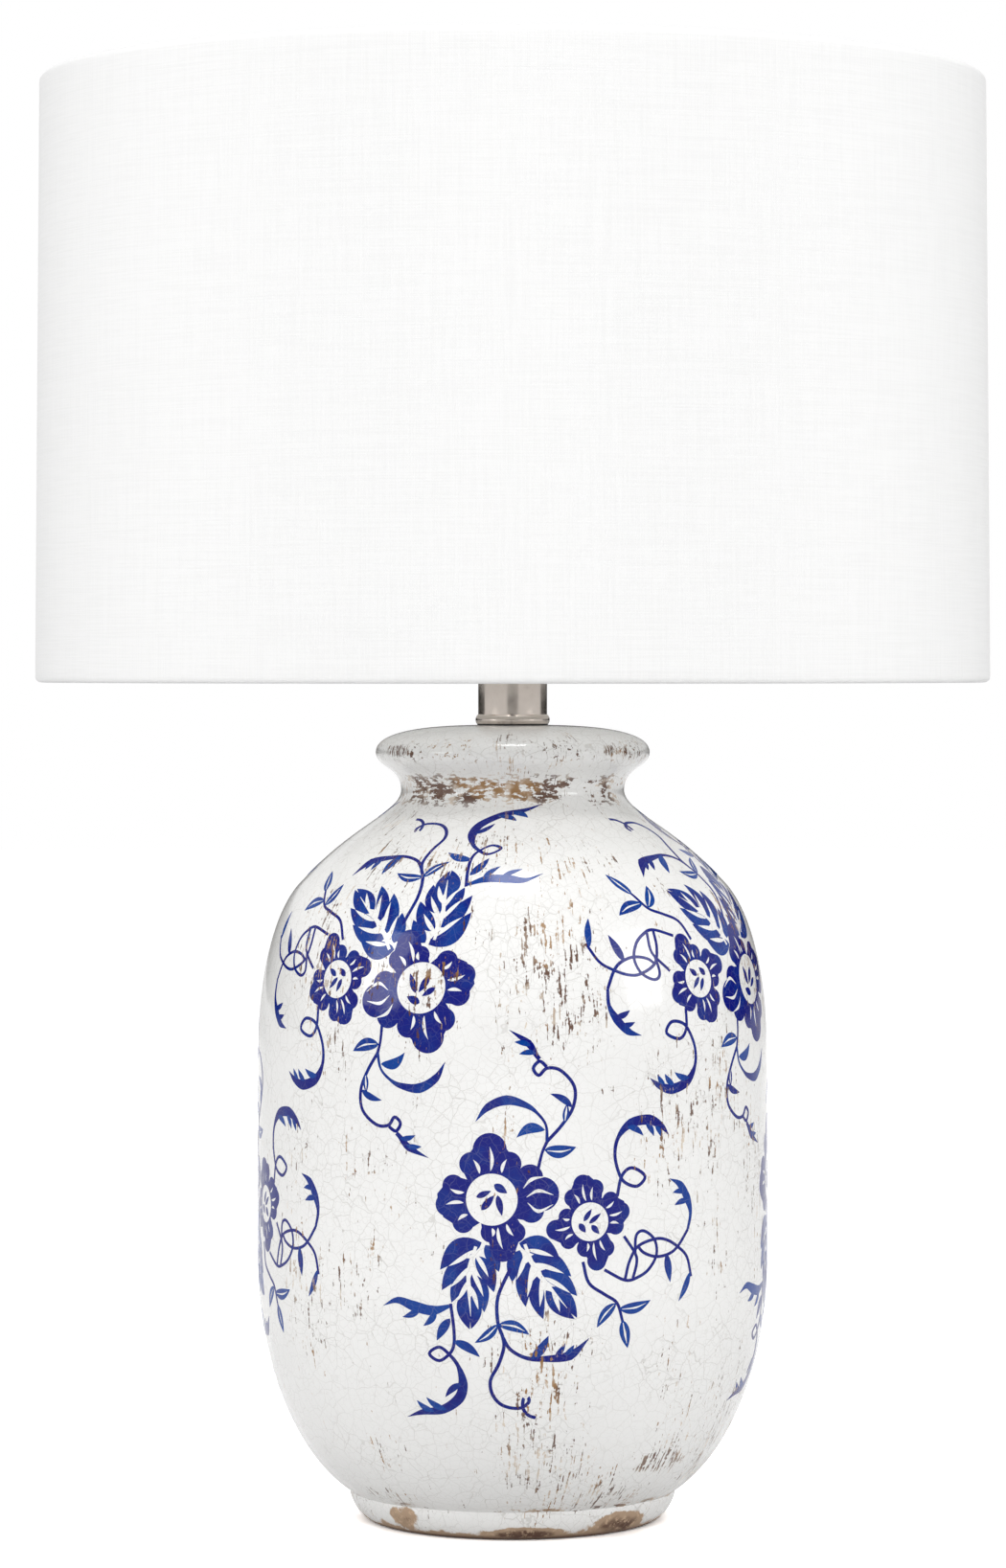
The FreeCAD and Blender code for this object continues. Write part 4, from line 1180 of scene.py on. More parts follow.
    def cut(self, jar: bpy.types.Object, radius: float, start: float) -> None:
        """Cuts a round way out of the foot, towards the back.

        Args:
            jar: The jar.
            radius: The way's radius, in millimetres.
            start: Where it starts, in millimetres from the axis.
        """
        cutter = bmesh.new()
        depth = self.belly_low[0] - start
        bmesh.ops.create_cone(
            cutter, cap_ends=True, segments=48, radius1=radius, radius2=radius, depth=depth
        )
        turn = Matrix.Rotation(math.pi / 2, 4, "X")
        shift = Matrix.Translation((0, start + depth / 2, self.outlet_height))
        cutter.transform(Matrix.Scale(MM, 4) @ shift @ turn)
        tool = add_shape("cutter", cutter)
        boolean = jar.modifiers.new("outlet", "BOOLEAN")
        boolean.operation = "DIFFERENCE"
        boolean.object = tool
        bpy.context.view_layer.update()
        graph = bpy.context.evaluated_depsgraph_get()
        result = bpy.data.meshes.new_from_object(jar.evaluated_get(graph))
        jar.modifiers.clear()
        jar.data = result
        bpy.data.objects.remove(tool)


# ---------------------------------------------------------------- flower sprays
class Ink(Enum):
    """What a drawn shape does to the glaze, and how thin its blue is."""

    DARK = 0.1
    MIDDLE = 0.45
    BRIGHT = 0.85
    WHITE = -1.0


@dataclass(frozen=True)
class Petal:
    """A petal of round lobes, each (x, y, radius) from the blossom's middle.

    Its bare slivers run out along the lobes, or else through the points that it gives.
    """

    lobes: tuple[tuple[float, float, float], ...]
    slivers: tuple[tuple[Flat, Flat, Flat], ...] = ()


@dataclass
class SprayDrawing:
    """A spray of flowers drawn flat, in millimetres about its own middle."""

    shapes: list[tuple[list[Vector], Ink]] = field(default_factory=list)
    samples: int = 5

    def add(self, outline: list[Vector], ink: Ink) -> None:
        """Adds one closed outline.

        Args:
            outline: Its points.
            ink: Its blue, or white to leave the glaze bare.
        """
        area = sum(a.cross(b) for a, b in zip(outline, outline[1:] + outline[:1]))
        self.shapes.append((outline if area > 0 else outline[::-1], ink))

    def smooth(self, points: Sequence[Vector]) -> list[Vector]:
        """A smooth line through points.

        Args:
            points: The points.

        Returns:
            The line's points, the given ones among them.
        """
        padded = [2 * points[0] - points[1], *points, 2 * points[-1] - points[-2]]
        found = [points[0]]
        for before, start, end, after in zip(padded, padded[1:], padded[2:], padded[3:]):
            first = start + (end - before) / 6
            second = end - (after - start) / 6
            found += cubic(start, first, second, end, self.samples)
        return found

    def stroke(self, points: Sequence[Flat], widths: Sequence[float], ink: Ink = Ink.DARK) -> None:
        """A brush stroke through points, whose width changes from point to point.

        Args:
            points: The points that it passes through.
            widths: Its width at each of them.
            ink: Its blue.
        """
        line = self.smooth([Vector(p) for p in points])
        reach = len(line) - 1
        halves = []
        for i in range(reach + 1):
            span = min(i // self.samples, len(widths) - 2)
            share = i / self.samples - span
            halves.append((widths[span] * (1 - share) + widths[span + 1] * share) / 2)
        sides = []
        for i, at in enumerate(line):
            along = line[min(i + 1, reach)] - line[max(i - 1, 0)]
            across = Vector((-along.y, along.x)).normalized() * max(halves[i], 0.02)
            sides.append((at + across, at - across))
        for first in range(0, reach, self.samples):
            run = sides[max(first - 1, 0): first + self.samples + 1]
            self.add([a for a, _ in run] + [b for _, b in run[::-1]], ink)

    def leaf(
        self,
        start: Flat,
        end: Flat,
        width: float,
        bow: float = 0.0,
        ink: Ink = Ink.BRIGHT,
        vein: float = 0.0,
    ) -> None:
        """A pointed leaf.

        Args:
            start: Its stalk end.
            end: Its tip.
            width: Its greatest width.
            bow: How far its middle line bows to the left of its way.
            ink: Its blue.
            vein: The width of the bare vein along its middle, or 0 for none.
        """
        tail, tip = Vector(start), Vector(end)
        way = tip - tail
        side = Vector((-way.y, way.x)).normalized()
        count = 12
        line = []
        for i in range(count + 1):
            t = i / count
            line.append((tail + way * t + side * (4 * bow * t * (1 - t)), t))
        left, right = [], []
        for at, t in line:
            half = width / 2 * math.sin(math.pi * t**0.8) ** 0.85 if 0 < t < 1 else 0.05
            left.append(at + side * half)
            right.append(at - side * half)
        self.add(left + right[::-1], ink)
        if vein:
            middle = [at for at, t in line if 0.08 < t < 0.85]
            shares = [0.3, 1.0, 0.2]
            picked = [middle[0], middle[len(middle) // 2], middle[-1]]
            self.stroke([tuple(p) for p in picked], [vein * s for s in shares], Ink.WHITE)

    def petal(self, centre: Flat, inner: float, fan: Petal) -> None:
        """A petal of round lobes with a bare sliver in each.

        Args:
            centre: The middle of the blossom's disc.
            inner: The petal's inner radius.
            fan: Its lobes.
        """
        middle = Vector(centre)
        ways = [Vector(lobe[:2]) for lobe in fan.lobes]
        roots = [middle + way.normalized() * inner * 0.85 for way in (ways[0], ways[-1])]
        crest = [ways[0] * 1.2]
        for before, after in zip(ways, ways[1:]):
            crest += [(before + after) / 2 * 1.32, after * 1.2]
        self.add([roots[0]] + [middle + way for way in crest] + [roots[1]], Ink.DARK)
        for x, y, radius in fan.lobes:
            away = Vector((x, y))
            out = away.normalized()
            side = Vector((-out.y, out.x))
            root = middle + out * inner * 0.85
            turns = [math.radians(-115 + 230 * i / 18) for i in range(19)]
            round_end = [
                middle + away + radius * (out * math.cos(a) + side * math.sin(a)) for a in turns
            ]
            self.add(round_end + [root + side * radius, root - side * radius], Ink.DARK)
        for sliver in fan.slivers:
            points = [tuple(middle + Vector(p)) for p in sliver]
            self.stroke(points, (0.2, 1.5, 0.2), Ink.WHITE)
        if fan.slivers:
            return
        heading = Vector(fan.lobes[len(fan.lobes) // 2][:2]).normalized()
        for x, y, radius in fan.lobes:
            away = Vector((x, y))
            out = (0.8 * away.normalized() + 0.2 * heading).normalized()
            reach = inner + 0.66 * (away.length + radius - inner)
            bow = 0.12 * radius * (1 if out.cross(heading) > 0 else -1)
            start, end = middle + out * inner * 1.1, middle + out * reach
            self.leaf(tuple(start), tuple(end), 0.14 * inner, bow, Ink.WHITE)

    def blossom(
        self, centre: Flat, inner: float, petals: Sequence[Petal], seeds: Sequence[tuple]
    ) -> None:
        """A blossom: petals round a bare disc with a few seeds in it.

        Args:
            centre: The disc's middle.
            inner: The disc's radius.
            petals: The petals.
            seeds: Each seed's start and end from the disc's middle, and its width.
        """
        for fan in petals:
            self.petal(centre, inner, fan)
        middle = Vector(centre)
        turns = [2 * math.pi * i / 48 for i in range(48)]
        self.add([middle + inner * Vector((math.cos(a), math.sin(a))) for a in turns], Ink.WHITE)
        for start, end, width in seeds:
            base, tip = tuple(middle + Vector(start)), tuple(middle + Vector(end))
            self.leaf(base, tip, width, ink=Ink.DARK)

    def draw(self) -> None:
        """Draws the whole spray."""
        self.draw_serrated_leaves()
        self.draw_lower_stems()
        self.draw_side_tendrils()
        self.draw_upper_stems()
        self.draw_blossoms()

    def draw_blossoms(self) -> None:
        """The large blossom and the small one beside it, drawn over the leaves and stems."""
        bud = (
            ((12.5, 4.5), (15.8, 8.0), (21.2, 9.1)),
            ((13.8, 1.0), (18.5, 3.5), (24.5, 1.8)),
            ((14.2, -1.2), (18.5, -4.6), (24.4, -2.0)),
        )
        self.blossom(
            (-20.5, 11.0),
            10.3,
            (
                Petal(((-8.3, 14.0, 4.7), (-0.8, 19.6, 6.8), (7.0, 14.2, 4.8))),
                Petal(((-15.4, 5.2, 4.5), (-18.0, -2.2, 4.7), (-11.4, -9.0, 4.4))),
                Petal(((-0.4, -13.0, 4.0), (4.4, -19.4, 5.2), (9.3, -12.9, 4.1))),
                Petal(((15.2, 8.8, 5.2), (20.0, 2.2, 6.8), (15.8, -4.2, 5.0)), bud),
            ),
            (
                ((-6.1, 0.9), (-0.3, 3.4), 2.4),
                ((1.0, 6.0), (6.1, 2.6), 3.2),
                ((-4.1, -4.2), (1.0, 1.7), 2.9),
                ((2.3, 1.7), (4.1, -6.4), 2.7),
            ),
        )
        self.blossom(
            (19.0, 1.8),
            7.7,
            (
                Petal(((-7.0, 9.6, 3.6), (-3.0, 14.8, 4.0), (2.0, 13.2, 3.6))),
                Petal(((8.6, 8.2, 3.5), (13.2, 3.6, 3.8), (10.9, -2.0, 3.5))),
                Petal(((-2.0, -10.4, 3.5), (2.8, -15.5, 4.0), (6.9, -10.6, 3.4))),
                Petal(((-9.6, 2.2, 3.3), (-13.9, -2.9, 4.0), (-8.9, -7.3, 3.3))),
            ),
            (
                ((-2.6, 0.3), (0.6, 5.0), 2.0),
                ((-0.4, -0.6), (4.5, 3.2), 1.9),
                ((-4.5, -0.6), (-1.9, -4.2), 2.5),
                ((0.6, -1.4), (3.8, -4.9), 2.4),
            ),
        )

    def draw_serrated_leaves(self) -> None:
        """Two leaves of close blue lobes under the large blossom."""
        left = (
            ((-24.5, -6.0), (-41.3, -17.1), 7.0, -2.6),
            ((-28.6, -12.6), (-40.6, -25.2), 5.6, -1.5),
            ((-30.8, -19.2), (-36.6, -30.0), 4.4, -0.8),
            ((-30.6, -24.6), (-29.2, -40.6), 4.8, -1.7),
            ((-28.2, -26.8), (-28.6, -40.4), 4.2, 1.5),
            ((-28.4, -18.6), (-23.4, -33.6), 5.2, 1.4),
            ((-26.6, -11.4), (-19.6, -25.6), 5.6, 1.2),
            ((-23.0, -7.0), (-17.6, -17.5), 4.6, 0.6),
        )
        right = (
            ((-9.6, -6.2), (6.6, -13.0), 6.6, 2.2),
            ((-5.0, -11.4), (11.2, -19.6), 5.9, 1.7),
            ((-1.0, -17.2), (13.6, -27.4), 5.6, 1.5),
            ((3.0, -23.6), (13.6, -36.2), 4.8, 1.3),
            ((1.0, -25.0), (12.6, -36.6), 4.4, -1.2),
            ((-2.6, -19.4), (0.0, -36.4), 5.2, -1.2),
            ((-6.0, -13.6), (-7.0, -31.4), 5.4, -1.3),
            ((-9.4, -9.0), (-12.4, -21.5), 5.0, -0.8),
        )
        for start, end, width, bow in left + right:
            self.leaf(start, end, 1.2 * width, bow, Ink.MIDDLE)
        ribs = (
            ((-26.8, -7.6), (-29.6, -17.0), (-29.6, -25.4), (-28.8, -35.4)),
            ((-7.4, -6.6), (-3.9, -15.2), (1.8, -22.8), (9.6, -32.2)),
        )
        veins = (
            ((-27.6, -9.0), (-37.8, -15.6)),
            ((-29.6, -15.8), (-37.2, -24.0)),
            ((-29.8, -21.0), (-34.4, -29.4)),
            ((-27.2, -10.4), (-21.8, -19.6)),
            ((-28.8, -16.6), (-23.8, -27.4)),
            ((-29.2, -23.0), (-25.8, -32.6)),
            ((-6.4, -8.8), (4.0, -11.6)),
            ((-3.6, -14.2), (8.2, -18.4)),
            ((0.4, -19.8), (10.8, -26.2)),
            ((-6.8, -9.8), (-10.6, -20.6)),
            ((-4.6, -14.6), (-6.4, -27.4)),
            ((-0.8, -19.8), (-1.4, -31.4)),
            ((3.4, -24.8), (6.6, -33.6)),
        )
        for rib in ribs:
            self.stroke(rib, (1.3, 1.7, 1.4, 0.2), Ink.WHITE)
        for start, end in veins:
            self.leaf(start, end, 1.9, 0.3, Ink.WHITE)

    def draw_lower_stems(self) -> None:
        """The stems, curls and leaves that hang below the blossoms."""
        self.stroke(
            ((-37.0, -30.5), (-35.6, -40.5), (-35.5, -47.0), (-37.2, -50.8), (-41.5, -53.8),
             (-45.6, -51.0), (-41.5, -48.2), (-37.0, -51.4), (-33.5, -56.0), (-31.5, -63.0),
             (-33.0, -69.5), (-39.5, -74.5), (-48.0, -76.0), (-54.5, -78.5)),
            (1.3,) * 8 + (1.6, 3.8, 4.4, 3.8, 2.4, 0.1),
        )
        self.leaf((-32.0, -63.0), (-38.5, -69.0), 2.8, -0.8, Ink.MIDDLE)
        self.leaf((-38.0, -74.5), (-46.5, -69.5), 2.6, 0.8, Ink.BRIGHT)
        self.leaf((-43.0, -75.5), (-50.5, -71.0), 2.4, 0.8, Ink.BRIGHT)
        self.stroke(
            ((-37.5, -31.5), (-44.5, -33.5), (-52.5, -32.0), (-59.5, -30.0), (-66.0, -32.5)),
            (1.4, 4.0, 4.2, 2.6, 0.1),
            Ink.BRIGHT,
        )
        self.leaf((-43.0, -33.5), (-48.2, -39.8), 2.8, 0.8)
        self.leaf((-49.5, -32.5), (-57.2, -36.6), 2.8, 0.8)
        self.leaf((-37.2, -36.5), (-42.5, -45.5), 3.8, -0.4, Ink.MIDDLE)
        self.leaf((-35.6, -45.5), (-25.0, -51.8), 3.6, 0.8)
        self.stroke(
            ((-13.0, -16.0), (-18.0, -27.5), (-18.0, -37.5), (-16.0, -43.5), (-15.5, -48.0),
             (-17.5, -55.0), (-20.5, -61.5), (-19.5, -67.5), (-15.5, -72.0), (-9.0, -73.4),
             (-5.2, -71.0), (-5.4, -68.6), (-7.2, -69.4), (-7.2, -73.4), (-5.0, -76.4),
             (-2.0, -77.6)),
            (1.4,) * 16,
        )
        self.leaf((-17.8, -38.6), (-5.5, -42.6), 4.4, 1.4, Ink.BRIGHT, vein=0.9)
        self.leaf((-18.0, -38.6), (-27.0, -46.0), 3.9, 0.8, Ink.BRIGHT, vein=0.8)
        self.stroke(
            ((-16.0, -43.5), (-13.0, -48.5), (-7.0, -52.0), (0.0, -52.6), (11.0, -51.4),
             (18.8, -44.6)),
            (1.3, 1.4, 1.5, 2.3, 4.0, 0.1),
        )
        self.leaf((-4.5, -52.6), (2.2, -43.2), 3.8, -0.8)
        self.leaf((5.0, -51.8), (9.0, -46.4), 2.2, -0.4, Ink.MIDDLE)
        self.leaf((9.0, -51.2), (12.6, -47.2), 2.0, -0.3, Ink.MIDDLE)
        self.stroke(
            ((16.0, -14.0), (18.5, -22.5), (25.0, -27.2), (30.5, -31.0), (33.0, -38.5)),
            (1.3, 1.3, 1.3, 1.3, 1.2),
        )
        self.leaf((30.0, -31.0), (22.0, -40.4), 4.2, -0.8, Ink.BRIGHT, vein=0.8)
        self.leaf((31.5, -33.4), (45.6, -30.6), 4.6, -1.2, Ink.BRIGHT, vein=0.8)
        self.leaf((33.0, -38.0), (35.4, -49.4), 4.6, 0.0, Ink.BRIGHT, vein=1.0)

    def draw_side_tendrils(self) -> None:
        """The tendrils that cross beside the small blossom, with their plume and leaves."""
        thin = 1.25
        runs = (
            ((25.0, -17.5), (34.0, -22.0), (40.0, -21.0), (45.0, -18.0), (48.5, -12.5),
             (47.5, -6.5), (42.5, -2.8), (39.0, -4.5), (38.5, -11.5)),
            ((34.0, -21.6), (36.0, -14.5), (40.0, -8.7), (48.0, -6.3), (53.5, -7.0),
             (59.0, -10.0), (64.0, -14.5), (66.3, -22.5)),
            ((37.5, -21.4), (39.2, -15.5), (38.5, -11.5), (33.5, -4.5)),
            ((39.5, -8.4), (42.5, -11.5), (48.5, -13.4), (55.0, -12.5), (59.5, -9.6), (64.5, -3.5)),
        )
        for run in runs:
            self.stroke(run, (thin,) * len(run))
        self.stroke(
            ((64.5, -3.5), (66.0, 3.0), (64.2, 9.0), (60.5, 14.6), (55.0, 17.4)),
            (thin, 1.6, 3.6, 3.0, 0.1),
            Ink.MIDDLE,
        )
        self.leaf((64.5, 8.0), (57.6, 6.6), 2.4, -0.6, Ink.MIDDLE)
        self.leaf((63.0, 11.5), (56.6, 11.6), 2.2, -0.6, Ink.MIDDLE)
        self.leaf((53.4, -12.6), (55.2, -24.0), 3.5, 0.0, Ink.MIDDLE)
        self.leaf((65.6, -20.8), (59.6, -32.0), 2.8, 0.5, Ink.BRIGHT)

    def draw_upper_stems(self) -> None:
        """The stems, curls and plumes that rise above the blossoms."""
        thin = 1.35
        self.stroke(
            ((30.5, 11.5), (32.5, 19.5), (37.0, 22.6), (43.0, 19.0), (39.5, 15.2), (34.0, 16.8),
             (31.2, 20.8), (29.5, 28.0), (31.0, 35.0), (36.5, 40.3), (45.0, 41.4), (51.0, 38.5),
             (54.6, 34.8)),
            (thin,) * 8 + (1.6, 3.8, 4.2, 2.6, 0.1),
        )
        self.leaf((35.0, 39.0), (42.2, 35.2), 2.6, 0.9)
        self.leaf((43.5, 40.0), (47.2, 34.8), 2.4, 0.6)
        self.leaf((48.0, 38.8), (50.8, 34.2), 2.0, 0.5)
        self.stroke(((-2.0, 23.5), (-0.5, 29.5), (1.5, 34.0)), (1.3, 1.1, thin))
        self.stroke(
            ((1.5, 34.0), (7.5, 40.5), (12.0, 47.5), (12.5, 55.5), (7.0, 62.0), (1.5, 63.0),
             (-1.8, 60.2), (-4.0, 63.0), (-1.4, 65.8), (1.4, 63.4), (-2.4, 67.6), (-6.0, 73.0),
             (-13.5, 78.2)),
            (thin,) * 9 + (thin, 1.8, 3.0, 0.1),
            Ink.DARK,
        )
        self.leaf((-3.0, 69.0), (-9.6, 68.6), 2.2, -0.5)
        self.leaf((-5.0, 72.0), (-11.4, 73.4), 2.2, -0.4)
        self.leaf((11.6, 47.4), (2.8, 52.8), 2.8, -0.9, Ink.MIDDLE)
        self.leaf((8.6, 41.5), (9.6, 49.0), 2.6, 0.0, Ink.MIDDLE, vein=0.9)
        self.stroke(
            ((1.5, 34.0), (1.0, 40.5), (-2.6, 45.4), (-7.0, 48.4), (-14.5, 50.4), (-22.0, 47.6),
             (-27.0, 41.8)),
            (thin, 1.0, 1.2, 2.4, 4.0, 3.0, 0.1),
            Ink.MIDDLE,
        )
        self.leaf((0.6, 38.6), (-10.6, 35.6), 4.2, -2.2)
        self.leaf((0.5, 30.6), (13.2, 31.6), 5.2, -1.2, Ink.BRIGHT, vein=0.8)


@dataclass
class FlowerSprays:
    """The cobalt sprays on the jar: one row upright on the belly, one upside down above it."""

    jar: Jar
    lower_centre: float = 131.5
    upper_centre: float = 233.0
    lower_angle: float = 6.5
    upper_angle: float = -33.1
    upper_turn: float = 190.0
    count: int = 4
    cell: float = 3.0
    lift: float = 0.07
    thickness: float = 0.11

    def flat(self) -> bmesh.types.BMesh:
        """The drawing as one flat mesh, each place with the ink drawn there last, cut into cells.

        Returns:
            The flat mesh, in millimetres.
        """
        drawing = SprayDrawing()
        drawing.draw()
        points: list[Vector] = []
        faces: list[list[int]] = []
        for outline, _ in drawing.shapes:
            faces.append(list(range(len(points), len(points) + len(outline))))
            points += outline
        found = geometry.delaunay_2d_cdt(points, [], faces, 1, 1e-5)
        mesh = bmesh.new()
        tone = mesh.faces.layers.float.new("tone")
        corners = [mesh.verts.new((p.x, p.y, 0)) for p in found[0]]
        inks = list(Ink)
        for face, sources in zip(found[2], found[5]):
            ink = drawing.shapes[max(sources)][1] if sources else Ink.WHITE
            if ink is not Ink.WHITE:
                made = mesh.faces.new([corners[i] for i in face])
                made.material_index = inks.index(ink)
        loose = [v for v in mesh.verts if not v.link_faces]
        bmesh.ops.delete(mesh, geom=loose, context="VERTS")
        bmesh.ops.dissolve_limit(
            mesh, angle_limit=0.001, verts=mesh.verts, edges=mesh.edges, delimit={"MATERIAL"}
        )
        for face in mesh.faces:
            face[tone] = inks[face.material_index].value
            face.material_index = 0
        for axis in (Vector((1, 0, 0)), Vector((0, 1, 0))):
            low = min(v.co.dot(axis) for v in mesh.verts)
            high = max(v.co.dot(axis) for v in mesh.verts)
            for i in range(1, math.ceil((high - low) / self.cell)):
                place, geom = axis * (low + i * self.cell), everything(mesh)
                bmesh.ops.bisect_plane(mesh, geom=geom, dist=1e-4, plane_co=place, plane_no=axis)
        return mesh

    def wrapped(
        self, flat: bmesh.types.BMesh, angle: float, height: float, turn: float
    ) -> bmesh.types.BMesh:
        """A copy of the flat spray laid on the jar.

        Args:
            flat: The flat mesh.
            angle: Where its middle goes round the axis, in degrees.
            height: Where its middle goes, in millimetres.
            turn: How far it is turned in its own plane, in degrees.

        Returns:
            The spray as a thin closed shell, in metres.
        """
        mesh = flat.copy()
        mesh.transform(Matrix.Scale(MM, 4) @ Matrix.Rotation(math.radians(turn), 4, "Z"))
        middle = self.jar.length_at(height * MM)
        for vertex in mesh.verts:
            x, y, _ = vertex.co
            vertex.co = self.jar.on_wall(math.radians(angle), x, middle + y, self.lift * MM)
        mesh.normal_update()
        bmesh.ops.solidify(mesh, geom=everything(mesh), thickness=self.thickness * MM)
        return mesh

    def row(
        self, name: str, flat: bmesh.types.BMesh, first: float, height: float, turn: float
    ) -> None:
        """One row of sprays, as one piece.

        Args:
            name: The piece's name.
            flat: The flat spray.
            first: The first spray's angle, in degrees.
            height: The sprays' height, in millimetres.
            turn: How far each is turned in its own plane, in degrees.
        """
        whole = bmesh.new()
        for i in range(self.count):
            one = self.wrapped(flat, first + 360.0 * i / self.count, height, turn)
            data = bpy.data.meshes.new("spray")
            one.to_mesh(data)
            one.free()
            whole.from_mesh(data)
            bpy.data.meshes.remove(data)
        soften(whole, 50)
        piece(name, whole, Slot.COBALT_PRINT, "base")

    def build(self) -> None:
        """Makes both rows."""
        flat = self.flat()
        self.row("sprays_lower", flat, self.lower_angle, self.lower_centre, 0.0)
        self.row("sprays_upper", flat, self.upper_angle, self.upper_centre, self.upper_turn)
        flat.free()


# ---------------------------------------------------------------- shade
@dataclass
class Shade:
    """The linen cover of the drum shade. Sizes are in millimetres."""

    taper: float = 1.7
    cloth: float = 0.6
    hem_radius: float = 2.5
    hem_slope: float = 5.0
    hem_flat: float = 5.0
    backing: float = 0.6
    rows: int = 60
    turns: int = 360
    lap_width: float = 12.0
    lap_stand: float = 0.45
    lap_sunk: float = 0.1
    lap_wave: float = 0.12
    lap_wave_height: float = 17.0

    def radius(self, height: float, low: Vector, high: Vector) -> float:
        """Outer radius of the shade at a height, all in millimetres."""
        return high.x - self.taper * (height - low.z) / (high.z - low.z)

    def outline(self, low: Vector, high: Vector) -> list[Vector]:
        """The cloth's outer face as an open line, from one turned-in edge to the other.

        Args:
            low: The cover's lowest corner, in millimetres.
            high: Its highest corner.

        Returns:
            Its (radius, height) points.
        """
        bend = self.hem_radius
        bottom, top = low.z + bend, high.z - bend
        behind = self.cloth + self.backing

        def hem(height: float, way: int) -> list[Vector]:
            """The turned-in hem at the wire at a height, way being 1 at the top and -1 below."""
            level = height - way * (bend - 1.0)
            back = level - way * self.hem_slope
            end = back - way * self.hem_flat
            return [
                Vector((self.radius(height, low, high) - 2 * bend, level)),
                Vector((self.radius(back, low, high) - behind - self.cloth, back)),
                Vector((self.radius(end, low, high) - behind - self.cloth, end)),
            ]

        def roll(height: float, way: int) -> list[Vector]:
            """The roll over that wire, from the outside inwards."""
            middle = self.radius(height, low, high) - bend
            angles = [math.pi * i / 10 for i in range(11)]
            return [
                Vector((middle + bend * math.cos(a), height + way * bend * math.sin(a)))
                for a in angles
            ]

        face = [
            Vector((self.radius(z, low, high), z))
            for z in (bottom + (top - bottom) * i / self.rows for i in range(1, self.rows))
        ]
        return hem(bottom, -1)[::-1] + roll(bottom, -1)[::-1] + face + roll(top, 1) + hem(top, 1)

    def build(self) -> None:
        """Makes the cover, rolled over both wires, and the lapped seam at its back."""
        low, high = (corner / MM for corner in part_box("shade_fabric"))
        line = self.outline(low, high)
        mesh = spun(line, self.turns, closed=False)
        self.face_outwards(mesh)
        bmesh.ops.solidify(mesh, geom=everything(mesh), thickness=self.cloth * MM)
        soften(mesh, 50)
        cover = piece("linen_cover", mesh, Slot.WHITE_LINEN, "shade", ["shade_fabric"])
        lap = self.build_lap(low, high)

    def face_outwards(self, mesh: bmesh.types.BMesh) -> None:
        """Turns the sheet's faces so that its outer side looks away from the axis."""
        mesh.faces.ensure_lookup_table()
        widest = max(mesh.faces, key=lambda f: f.calc_center_median().xy.length)
        if widest.normal.dot(widest.calc_center_median()) < 0:
            bmesh.ops.reverse_faces(mesh, faces=mesh.faces)

    def build_lap(self, low: Vector, high: Vector) -> bpy.types.Object:
        """The strip where the cloth's end is lapped and glued, down the back of the shade.

        Args:
            low: The cover's lowest corner, in millimetres.
            high: Its highest corner.

        Returns:
            The strip.
        """
        mesh = bmesh.new()
        bmesh.ops.create_grid(mesh, x_segments=6, y_segments=40, size=0.5)
        bend = self.hem_radius
        for vertex in mesh.verts:
            height = low.z + bend + (vertex.co.y + 0.5) * (high.z - low.z - 2 * bend)
            radius = self.radius(height, low, high) + self.lap_stand
            turn = vertex.co.x * self.lap_width / radius
            turn += self.lap_wave * math.sin(height / self.lap_wave_height) / radius
            vertex.co = Vector((math.sin(turn) * radius, math.cos(turn) * radius, height)) * MM
        bmesh.ops.recalc_face_normals(mesh, faces=mesh.faces)
        self.face_outwards(mesh)
        depth = (self.lap_stand + self.lap_sunk) * MM
        bmesh.ops.solidify(mesh, geom=everything(mesh), thickness=depth)
        soften(mesh, 50)
        return piece("linen_lap", mesh, Slot.WHITE_LINEN, "shade")


# ---------------------------------------------------------------- carried-over nodes
class Fittings:
    """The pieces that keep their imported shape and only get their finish."""

    def dress(self) -> None:
        """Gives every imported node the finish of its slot."""
        slots = {part["node"]: part["material_slot"] for part in frame["record"]["subparts"]}
        for name, node in frame["nodes"].items():
            made = finish(Slot(slots[name]))
            node.data.materials.clear()
            node.data.materials.append(made)
            log.info("%s: %s", name, made.name)


